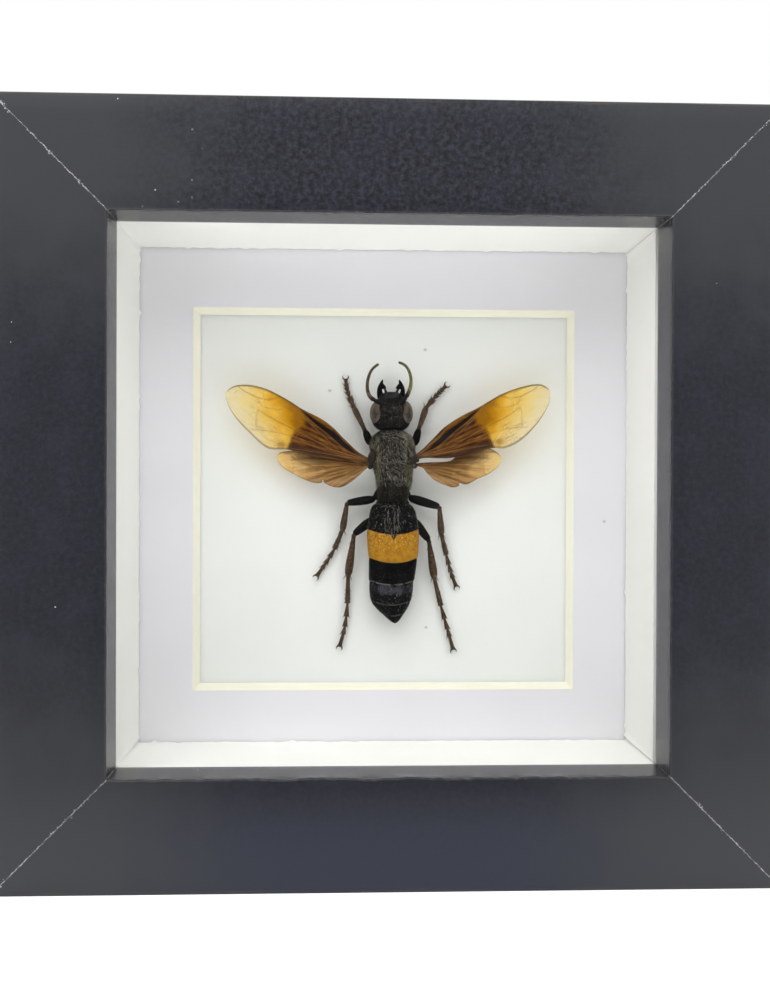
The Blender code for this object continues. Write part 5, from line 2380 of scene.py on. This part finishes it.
@dataclass
class Wing:
    """One wing, laid out by shares of its length and width along a line from base to tip."""

    name: str
    base: Plan
    tip: Plan
    mirrored: bool
    heights: Plan
    lead: Line
    trail: Line
    veins: tuple[Line, ...]
    vein_radii: Line
    smoke_edge: Line = ()
    streak_top: Line = ()
    streak_bottom: Line = ()
    steps_along: int = 130
    steps_across: int = 38
    thick: float = 0.05
    camber: float = 0.5
    pleat: float = 0.1

    def axes(self) -> tuple[Vector, Vector, float]:
        """The wing's unit directions along and across in plan, and its length.

        Returns:
            The two directions and the length.
        """
        run = Vector(self.tip) - Vector(self.base)
        along = run.normalized()
        across = Vector((-along.y, along.x)) if self.mirrored else Vector((along.y, -along.x))
        return along, across, run.length

    def height(self, span: float, chord: float, near: float) -> float:
        """The membrane's height above the board.

        Args:
            span: the share along the wing.
            chord: the share across it.
            near: how close the nearest vein is, from 0 to 1.

        Returns:
            The height in millimetres.
        """
        root, end = self.heights
        arch = self.camber * (math.sin(math.pi * min(max(span, 0), 1)) - 6.0 * chord * chord)
        wave = 0.1 * noise.noise(Vector((span * 5.0, chord * 16.0, self.base[0])))
        fold = 0.16 * math.sin(chord * 95.0) * smooth(0.5 - span, 0.0, 0.45) * smooth(span, 0, 0.1)
        return mix(root, end, span) + arch + wave + fold + self.pleat * near

    def point(self, span: float, chord: float, lift: float = 0.0, near: float = 0.0) -> Vector:
        """A point of the wing in the frame.

        Args:
            span: the share along the wing.
            chord: the share across it.
            lift: how far it lies above the membrane.
            near: how close the nearest vein is, from 0 to 1.

        Returns:
            The point in millimetres.
        """
        along, across, length = self.axes()
        where = Vector(self.base) + along * span * length + across * chord * length
        return plan(where.x, where.y, self.height(span, chord, near) + lift)

    def edge_at(self, rows: Rows, share: float) -> Plan:
        """The point at a share of the way along an edge's smooth rows.

        Args:
            rows: the edge's rows.
            share: the share of the way.

        Returns:
            The shares along and across the wing.
        """
        goal = share * (len(rows) - 1)
        first = min(int(goal), len(rows) - 2)
        part = goal - first
        a, b = rows[first], rows[first + 1]
        return mix(a[0], b[0], part), mix(a[1], b[1], part)

    def line_at(self, rows: Rows, value: float, axis: int) -> float:
        """The other coordinate of a line where one of its coordinates has a value.

        Args:
            rows: the line's points.
            value: the value.
            axis: which coordinate has it.

        Returns:
            The other coordinate.
        """
        ordered = sorted(rows, key=lambda row: row[axis])
        if value <= ordered[0][axis]:
            return ordered[0][1 - axis]
        for a, b in zip(ordered, ordered[1:]):
            if a[axis] <= value <= b[axis]:
                part = (value - a[axis]) / max(b[axis] - a[axis], 1e-09)
                return mix(a[1 - axis], b[1 - axis], part)
        return ordered[-1][1 - axis]

    def nearness(self, span: float, chord: float) -> float:
        """How close the nearest vein is at a point, from 0 to 1.

        Args:
            span: the share along the wing.
            chord: the share across it.

        Returns:
            The closeness.
        """
        best = 0.0
        for vein, (root, _) in zip(self.veins, self.vein_radii):
            width = 0.0035 + root * 0.022
            for (s0, c0), (s1, c1) in zip(vein, vein[1:]):
                if not min(s0, s1) - 0.03 < span < max(s0, s1) + 0.03:
                    continue
                run_s, run_c = s1 - s0, c1 - c0
                size = run_s * run_s + run_c * run_c
                t = min(max(((span - s0) * run_s + (chord - c0) * run_c) / size, 0.0), 1.0)
                away = math.hypot(span - s0 - run_s * t, chord - c0 - run_c * t)
                best = max(best, math.exp(-(away / width) ** 2))
        return best

    def band(self, span: float, chord: float) -> float:
        """How far a point lies inside the black streak, from 0 to 1.

        Args:
            span: the share along the wing.
            chord: the share across it.

        Returns:
            The share inside.
        """
        top = self.line_at(self.streak_top, span, 0)
        low = self.line_at(self.streak_bottom, span, 0)
        first, last = self.streak_top[0][0], self.streak_top[-1][0]
        ends = smooth(span, first, first + 0.05) * smooth(last - span, 0.0, 0.03)
        return smooth(top - chord, -0.004, 0.005) * smooth(chord - low, -0.006, 0.008) * ends

    def marks(self, span: float, chord: float, across: float) -> WingMarks:
        """The strength of each marking at a point of the wing.

        Args:
            span: the share along the wing.
            chord: the share across it.
            across: the share of the way from the rear edge to the front edge.

        Returns:
            The markings.
        """
        near = self.nearness(span, chord)
        wide = 0.04 if self.smoke_edge else 0.062
        rim = smooth(wide - min(across, 1 - across), 0.0, wide * 0.7) * smooth(span, 0.25, 0.6)
        if not self.smoke_edge:
            return WingMarks(streak=0.85 * self.band(span, chord), vein=near, rim=rim)
        edge = self.line_at(self.smoke_edge, chord, 1)
        soft = mix(0.04, 0.075, smooth(chord, -0.1, 0.02))
        smoky = smooth(edge + soft * 0.6 - span, 0.0, soft)
        top = self.line_at(self.streak_top, span, 0)
        over = smooth(chord - top, -0.004, 0.008) * smooth(span, 0.2, 0.34)
        smoky *= 1 - 0.62 * over
        patch = 0.6 * math.exp(-(((span - 0.535) / 0.035) ** 2 + ((chord + 0.15) / 0.026) ** 2))
        patch += 0.8 * math.exp(-(((span - 0.575) / 0.045) ** 2 + ((chord - 0.098) / 0.018) ** 2))
        fold = smooth(0.26 - across, 0.0, 0.14) * smooth(span, 0.08, 0.2)
        fold *= smooth(0.5 - span, 0.0, 0.03)
        return WingMarks(self.band(span, chord), smoky, near, rim, min(patch, 1.0), fold)

    def membrane(self) -> BMesh:
        """The membrane: a grid laid between the two edges, then given its thickness.

        Returns:
            The membrane's mesh.
        """
        bm = bmesh.new()
        names = ("span", "chord", "across", "streak", "smoky", "vein", "rim", "patch", "fold")
        layers = {name: bm.verts.layers.float.new(name) for name in names}
        bmesh.ops.create_grid(bm, x_segments=self.steps_along, y_segments=self.steps_across, size=0.5)
        lead, trail = through(self.lead, 12), through(self.trail, 12)
        for vert in bm.verts:
            along, across = 0.5 - 0.5 * math.cos(math.pi * (vert.co.x + 0.5)), vert.co.y + 0.5
            (s0, c0), (s1, c1) = self.edge_at(trail, along), self.edge_at(lead, along)
            span, chord = mix(s0, s1, across), mix(c0, c1, across)
            marks = self.marks(span, chord, across)
            values = (span, chord, across, *(getattr(marks, name) for name in names[3:]))
            for name, value in zip(names, values):
                vert[layers[name]] = value
            vert.co = self.point(span, chord, 0.0, marks.vein)
        bmesh.ops.remove_doubles(bm, verts=bm.verts, dist=0.002)
        under = bmesh.ops.extrude_face_region(bm, geom=list(bm.faces))["geom"]
        verts = points_in(under)
        bmesh.ops.translate(bm, vec=(0, self.thick, 0), verts=verts)
        return bm

    def inside(self, span: float, chord: float) -> float:
        """A chord kept between the two edges.

        Args:
            span: the share along the wing.
            chord: the share across it.

        Returns:
            The chord that is kept.
        """
        top = self.line_at(self.lead, span, 0) - 0.004
        low = self.line_at(self.trail, span, 0) + 0.004
        return min(max(chord, low), top)

    def add_veins(self, skin: Skin) -> None:
        """Add this wing's veins as thin tapering tubes.

        Args:
            skin: the skin that holds all the veins.
        """
        for vein, (root, end) in zip(self.veins, self.vein_radii):
            rows = through(vein, 6)
            last = len(rows) - 1
            places = [self.point(span, self.inside(span, chord), -0.02, 1.0) for span, chord in rows]
            rings, shares = [], []
            for i, where in enumerate(places):
                radius = mix(root, end, i / last)
                rings.append(ring_at(where, path_axes(places, i), radius, radius))
                shares.append(min(max(rows[i][0], 0.0), 1.0))
            skin.draw(rings, 6, shares)


FORE_VEINS = (
    line(-20, 0, 40, 12, 100, 32, 190, 58, 280, 92, 400, 113, 520, 120, 660, 136, 780, 138, 880, 116, 955,
        80, 992, 32),
    line(-20, -2, 60, -6, 130, -2, 198, 11, 296, 40, 391, 62, 460, 83, 500, 98, 540, 116),
    line(200, -20, 260, 0, 331, 24, 432, 58, 500, 78, 540, 108),
    line(-20, -5, 80, -19, 218, -36, 330, -34, 430, -27, 530, -20, 633, -18, 700, -11, 757, 0),
    line(-20, -8, 80, -30, 220, -72, 340, -104, 465, -140),
    line(100, -26, 200, -52, 300, -68, 400, -70, 475, -62),
    line(945, 80, 900, 69, 864, 68, 800, 66, 736, 83, 690, 116, 668, 134),
    line(764, 0, 761, -35, 745, -75, 725, -118),
    line(755, -140, 700, -118, 640, -98, 560, -80, 490, -66),
    line(540, 104, 512, 70, 488, 36, 476, -20),
    line(460, -26, 470, -60, 478, -100, 475, -150),
    line(600, 100, 630, 60, 690, 40, 757, 30, 800, 64),
)
FORE_RADII = line(100, 50, 45, 35, 40, 35, 70, 28, 55, 35, 35, 30, 35, 40, 22, 20, 22, 25, 30, 30, 40, 30,
    20, 20)
HIND_VEINS = (
    line(0, -10, 100, 0, 250, 18, 450, 36, 650, 55, 800, 72, 920, 50),
    line(20, -20, 150, -18, 350, -6, 550, 4, 720, 4, 840, -20),
    line(30, -26, 140, -55, 280, -88, 420, -102, 563, -83, 711, -38, 835, 18),
    line(30, -28, 120, -78, 250, -125, 344, -160, 426, -190, 464, -222, 466, -256),
    line(20, -32, 80, -80, 170, -150, 260, -205),
)
HIND_RADII = line(100, 40, 70, 25, 60, 20, 50, 20, 50, 18)


@dataclass
class Wings:
    """The four spread wings."""

    fore: ForeWingFinish = ForeWingFinish("fore_wing_membrane")
    hind: HindWingFinish = HindWingFinish("hind_wing_membrane")
    vein: VeinFinish = VeinFinish()

    def all_wings(self) -> list[Wing]:
        """The four wings, with their real outlines.

        Returns:
            The wings.
        """
        fore = {
            "heights": (7.9, 6.7),
            "veins": FORE_VEINS,
            "vein_radii": FORE_RADII,
            "smoke_edge": line(485, -160, 490, -70, 476, -20, 442, 30, 450, 80, 500, 120),
            "streak_top": line(55, 4, 120, 22, 190, 47, 285, 73, 394, 91, 488, 111, 530, 118),
            "streak_bottom": line(55, -8, 120, -4, 198, 10, 296, 41, 391, 64, 499, 99, 530, 114),
        }
        hind = {
            "heights": (7.2, 5.0),
            "veins": HIND_VEINS,
            "vein_radii": HIND_RADII,
            "streak_top": line(100, 4, 300, 14, 500, 28, 742, 26),
            "streak_bottom": line(100, -16, 300, -4, 500, 6, 742, 12),
            "steps_along": 90,
            "steps_across": 34,
            "camber": 0.3,
        }
        return [
            Wing("fore_left", (-4.1, 7.5), (-33.43, 20.84), False,
                lead=line(-45, 8, 14, 13, 71, 20, 145, 45, 200, 64, 279, 94, 372, 113, 509, 119, 590, 131,
                668, 138, 762, 141, 848, 129, 920, 104, 972, 68, 996, 28, 1000, 4),
                trail=line(-45, -12, 14, -30, 84, -56, 175, -80, 312, -115, 403, -138, 485, -158, 526, -174,
                567, -194, 613, -203, 679, -188, 749, -162, 830, -131, 907, -91, 968, -42, 1000, 4),
                **fore),
            Wing("fore_right", (6.7, 8.2), (34.66, 21.54), True,
                lead=line(-45, 6, 25, 22, 73, 36, 160, 68, 245, 98, 378, 116, 503, 119, 597, 128, 688, 134,
                775, 129, 858, 116, 922, 100, 972, 73, 997, 34, 1000, 10),
                trail=line(-45, -14, 35, -34, 113, -72, 188, -106, 298, -135, 374, -147, 448, -160, 495,
                -176, 547, -203, 625, -209, 702, -197, 777, -170, 845, -139, 909, -99, 966, -52, 1000, 10),
                **fore),
            Wing("hind_left", (-4.1, 6.7), (-22.74, 7.65), False,
                lead=line(-50, 12, 100, 40, 260, 62, 450, 84, 600, 94, 750, 96, 860, 90, 935, 74, 976, 55,
                1002, 8), trail=line(-50, -25, 2, -75, 89, -165, 158, -226, 236, -278, 315, -295, 397, -278,
                450, -252, 474, -220, 490, -252, 575, -255, 672, -226, 804, -168, 919, -107, 979, -46, 1002,
                8), **hind),
            Wing("hind_right", (6.8, 6.6), (24.61, 8.23), True,
                lead=line(-50, 2, 104, 4, 272, -6, 370, -6, 415, 18, 460, 52, 574, 78, 703, 100, 790, 110,
                867, 102, 940, 56, 978, 12, 993, -36), trail=line(-50, -25, 43, -56, 92, -123, 140, -180,
                188, -222, 302, -288, 384, -316, 450, -306, 469, -272, 510, -290, 560, -292, 614, -274, 693,
                -240, 816, -198, 905, -147, 970, -85, 993, -36), **hind),
        ]

    def build(self) -> None:
        """Build and dress the membranes, and all the veins as one piece."""
        fore, hind = self.fore.build(), self.hind.build()
        veins = Skin()
        for wing in self.all_wings():
            membrane = fore if wing.name.startswith("fore") else hind
            finish_piece(f"wasp_wing_{wing.name}", wing.membrane(), membrane, ["wasp"], None,
                merge=0.0)
            wing.add_veins(veins)
        finish_piece("wasp_wing_veins", veins.bm, self.vein.build(), ["wasp"], 80.0)


@dataclass(frozen=True)
class HairPatch:
    """A patch of hair: where it may root, how it lies and how pale it is."""

    sources: tuple[str, ...]
    count: int
    keep: Callable[[float, float, float], bool]
    lay: Callable[[float, float], Vector]
    length: Plan
    rise: float
    shade: Plan
    thick: float = 0.035


@dataclass
class Hair:
    """Short lying hair on the thorax, face and front of the abdomen, rooted on their faces."""

    seed: int = 7
    finish: HairFinish = HairFinish()

    def strand(self) -> bpy.types.Mesh:
        """One bent, tapering, three-sided hair of unit length along +Z.

        Returns:
            The hair's mesh.
        """
        bm = bmesh.new()
        bmesh.ops.create_cone(bm, cap_ends=True, segments=3, radius1=1.0, radius2=0.12, depth=1.0,
            matrix=Matrix.Translation((0, 0, 0.5)))
        slopes = [edge for edge in bm.edges if abs(edge.verts[0].co.z - edge.verts[1].co.z) > 0.5]
        bmesh.ops.subdivide_edges(bm, edges=slopes, cuts=1)
        for vert in bm.verts:
            vert.co.x *= self.thick_share(vert.co.z)
            vert.co.y *= self.thick_share(vert.co.z)
        return to_mesh("strand", bm)

    def thick_share(self, along: float) -> float:
        """A hair's thickness at a share of its length, as a share of its root's."""
        return 1.0 if along > 0.9 else mix(1.0, 1.3, math.sin(math.pi * along))

    def roots(self, patch: HairPatch, rng: random.Random) -> list[tuple[Vector, Vector]]:
        """Random points on the faces that a patch keeps.

        Args:
            patch: the patch.
            rng: the source of chance.

        Returns:
            Each root's place in metres and the surface's direction there.
        """
        faces, areas = [], []
        for name in patch.sources:
            mesh = bpy.data.objects[name].data
            for face in mesh.polygons:
                centre = face.center / MM
                off = BOARD_FRONT - (centre.y + FRAME_DEPTH / 2)
                if patch.keep(centre.x, centre.z - FRAME_MIDDLE, off):
                    faces.append(([mesh.vertices[i].co.copy() for i in face.vertices], face.normal.copy()))
                    areas.append(face.area)
        if not faces:
            return []
        found = []
        for corners, normal in rng.choices(faces, weights=areas, k=patch.count):
            a, b = rng.random(), rng.random()
            if a + b > 1:
                a, b = 1 - a, 1 - b
            start = rng.randrange(len(corners))
            p, q, r = (corners[(start + k) % len(corners)] for k in range(3))
            found.append((p + (q - p) * a + (r - p) * b, normal))
        return found

    def patches(self) -> tuple[HairPatch, ...]:
        """The patches of hair.

        Returns:
            The patches.
        """

        def outward(x: float, y: float) -> Vector:
            """Hair that lies slantwise in clumps that turn from place to place."""
            swirl = 1.3 * noise.noise(Vector((x * 0.35, y * 0.35, 3.0)))
            return Vector((0.65 + swirl, 0.0, -1.0 + 0.4 * swirl))

        def forward(x: float, y: float) -> Vector:
            """Hair that runs towards the jaws."""
            swirl = noise.noise(Vector((x * 1.2, y * 1.2, 8.0)))
            return Vector((0.25 * (x - 1.2) + swirl, 0.0, 1.0))

        def back(x: float, y: float) -> Vector:
            """Hair that runs straight back along the abdomen."""
            return Vector((0.1 * (x - 1.6), 0.0, -1.0))

        def sideways(x: float, y: float) -> Vector:
            """Hair that stands out from the sides."""
            return Vector((1.5 * (1 if x > 1.3 else -1), 0.0, -0.8))

        def fanned(x: float, y: float) -> Vector:
            """Hair that fans out from the middle of the face."""
            return Vector((0.45 * (x - 1.2), 0.0, 1.0 if y > 17.0 else -1.0))

        thorax = ("wasp_thorax",)
        head = ("wasp_head",)
        return (
            HairPatch(thorax, 2500, lambda x, y, off: off > 6.3 and 2.6 < y < 13.6, outward, (0.7, 1.6),
                0.09, (0.12, 0.6), 0.018),
            HairPatch(thorax, 420, lambda x, y, off: off > 7.0 and 3.5 < y < 12.6
                and 2.55 < abs(x - 1.3) < 3.25, back, (0.7, 1.2), 0.12, (0.7, 1.0), 0.024),
            HairPatch(thorax, 560, lambda x, y, off: off > 4.6 and abs(x - 1.2) > 3.1 and 8.4 < y < 13.0,
                outward, (0.5, 1.0), 0.4, (0.62, 0.9), 0.022),
            HairPatch(thorax, 700, lambda x, y, off: off > 3.4 and abs(x - 1.4) > 2.6 and 1.6 < y < 6.4,
                sideways, (0.6, 1.1), 0.5, (0.64, 0.98), 0.026),
            HairPatch(thorax, 500, lambda x, y, off: off > 4.0 and -1.6 < y < 2.8, back, (0.4, 0.9), 0.3,
                (0.0, 0.36), 0.018),
            HairPatch(head, 120, lambda x, y, off: off > 5.8 and 15.8 < y < 18.9 and -0.7 < x < 3.1, fanned,
                (0.4, 0.9), 0.2, (0.2, 0.48), 0.018),
            HairPatch(head, 150, lambda x, y, off: off > 5.6 and 13.9 < y < 18.9 and -1.6 < x < 4.0,
                forward, (0.25, 0.5), 0.4, (0.1, 0.5), 0.016),
            HairPatch(("wasp_abdomen_plate_1",), 190, lambda x, y, off: off > 4.6, back, (0.5, 1.4), 0.14,
                (0.15, 0.6), 0.018),
            HairPatch(("wasp_abdomen_plate_1",), 110, lambda x, y, off: abs(x - 1.3) < 1.5 and off > 6.0,
                back, (0.8, 1.7), 0.14, (0.42, 0.62), 0.02),
            HairPatch(("wasp_abdomen_plate_3", "wasp_abdomen_plate_4"), 150, lambda x, y, off: off > 4.6,
                back, (0.3, 0.8), 0.15, (0.0, 0.4), 0.012),
            HairPatch(("wasp_abdomen_plate_5", "wasp_abdomen_plate_6"), 300, lambda x, y, off: off > 3.0,
                back, (0.4, 0.9), 0.25, (0.05, 0.52), 0.014),
        )

    def build(self) -> None:
        """Plant and dress all the hair as one piece."""
        rng = random.Random(self.seed)
        strand = self.strand()
        whole = bmesh.new()
        shades: list[float] = []
        for patch in self.patches():
            for root, normal in self.roots(patch, rng):
                where = root / MM
                x, y = where.x, where.z - FRAME_MIDDLE
                length = mix(*patch.length, rng.random())
                way = patch.lay(x, y) + Vector([rng.uniform(-0.22, 0.22) for _ in range(3)])
                way -= normal * way.dot(normal)
                way = way.normalized() + normal * patch.rise * mix(0.5, 1.5, rng.random())
                turn = way.to_track_quat("Z", "Y").to_matrix().to_4x4()
                size = Matrix.Diagonal((patch.thick, patch.thick, length, 1.0))
                stand = Matrix.Translation(where - normal * 0.05) @ turn @ size
                strand.transform(stand)
                whole.from_mesh(strand)
                strand.transform(stand.inverted())
                shades.append(mix(*patch.shade, rng.random()))
        per_strand = len(strand.vertices)
        layer = whole.verts.layers.float.new("shade")
        for number, vert in enumerate(whole.verts):
            vert[layer] = shades[number // per_strand]
        bpy.data.meshes.remove(strand)
        finish_piece("wasp_hair", whole, self.finish.build(), ["wasp"], 80.0, merge=0.0,
            recalculate=False)


@dataclass
class Studio:
    """A plain pale floor, soft light from above and in front, and the camera."""

    lens: float = 1257.36 * 36.0 / 986.0
    camera_place: Point = (-11.653, -258.602, 77.341)
    camera_turns: Point = (0.0074, 0.0439, -0.0031)
    floor_width: float = 1.1
    floor_front: float = -0.085
    floor_back: float = 0.75
    floor_white: Colour = (0.9, 0.9, 0.895)
    dome: float = 1.91
    dome_low: float = 2.05
    dark_spot: float = 0.02
    spot_inner: float = 22.0
    spot_outer: float = 42.0
    key_power: float = 5.1
    key_size: float = 0.9
    key_place: Point = (-0.12, -0.75, 0.95)
    fill_power: float = 2.7
    fill_size: float = 0.7

    def camera(self) -> None:
        """Place the camera where it saw the frame, and make it the scene's camera."""
        data = bpy.data.cameras.new("camera")
        data.sensor_width = 36.0
        data.lens = self.lens
        data.clip_start = 0.01
        pitch, yaw, roll = self.camera_turns
        turn = Matrix.Rotation(roll, 3, "Z") @ Matrix.Rotation(yaw, 3, "Y") @ Matrix.Rotation(pitch, 3, "X")
        stand = Matrix(((1, 0, 0), (0, 0, -1), (0, 1, 0)))
        camera = add_object("camera", data)
        camera.matrix_world = Matrix.Translation(Vector(self.camera_place) * MM) @ (stand
            @ turn.transposed()).to_4x4()
        bpy.context.scene.camera = camera

    def floor(self) -> None:
        """Lay the pale floor below the frame."""
        bm = bmesh.new()
        bmesh.ops.create_grid(bm, x_segments=8, y_segments=8, size=0.5)
        deep = self.floor_back - self.floor_front
        bmesh.ops.scale(bm, vec=(self.floor_width, deep, 1.0), verts=bm.verts)
        middle = (self.floor_front + self.floor_back) / 2
        bmesh.ops.translate(bm, vec=(0.0, middle, 0.0), verts=bm.verts)
        mesh = to_mesh("floor", bm)
        graph = Look("pale_floor")
        tone = graph.place_mm().noise(0.004, 2.0)
        white = graph.blend(tone.span(0.3, 0.7), self.floor_white, (0.87, 0.87, 0.87))
        mesh.materials.append(graph.finish(Base_Color=white, Roughness=0.9, Emission_Color=(1.0, 1.0, 1.0),
            Emission_Strength=0.22))
        add_object("floor", mesh)

    def surroundings(self) -> None:
        """A plain white backdrop to the eye, and a soft dome that leaves the glass clear."""
        world = bpy.data.worlds.new("studio")
        world.use_nodes = True
        bpy.context.scene.world = world
        graph = Graph(world.node_tree)
        background = world.node_tree.nodes["Background"]
        _, toward, up = graph.value("TexCoord", {}, "Generated").split()
        degrees = graph.math("ARCCOSINE", toward * -1.0) * (180.0 / math.pi)
        spot = degrees.span(self.spot_inner, self.spot_outer, self.dark_spot, 1.0)
        light = spot * up.span(-0.7, 0.9, self.dome_low, self.dome, soft=False)
        seen = graph.value("LightPath", {}, "Is Camera Ray")
        graph.feed(background.inputs["Strength"], graph.value("Mix", {0: seen, 2: light, 3: 1.0}))
        background.inputs["Color"].default_value = (1.0, 1.0, 1.0, 1.0)

    def lamp(self, name: str, where: Point, size: float, power: float) -> None:
        """Hang one large soft light that faces the wasp.

        Args:
            name: the lamp's name.
            where: its place in metres.
            size: the side of its square in metres.
            power: its power in watts.
        """
        data = bpy.data.lights.new(name, "AREA")
        data.shape = "SQUARE"
        data.size = size
        data.energy = power
        lamp = add_object(name, data)
        aim = Vector((0.0, 0.0, FRAME_MIDDLE * MM)) - Vector(where)
        lamp.location = where
        lamp.rotation_euler = aim.to_track_quat("-Z", "Y").to_euler()

    def build(self) -> None:
        """Set up the camera, the floor and the light."""
        bpy.context.scene.view_settings.view_transform = "Standard"
        self.camera()
        self.floor()
        self.surroundings()
        self.lamp("key", self.key_place, self.key_size, self.key_power)
        self.lamp("fill_left", (-0.46, -0.75, -0.64), self.fill_size, self.fill_power)
        self.lamp("fill_right", (0.46, -0.75, -0.64), self.fill_size, self.fill_power)


def main() -> None:
    """Build every sub-assembly in order, then the studio."""
    logging.basicConfig(level=logging.INFO, format="%(name)s: %(message)s")
    Moulding().build()
    Lining().build()
    WindowMat().build()
    BackFittings().build()
    Boards().build()
    GlueDab().build()
    Thorax().build()
    Abdomen().build()
    Head().build()
    Feelers().build()
    Legs().build()
    Wings().build()
    Hair().build()
    Studio().build()


if __name__ == "__main__":
    main()
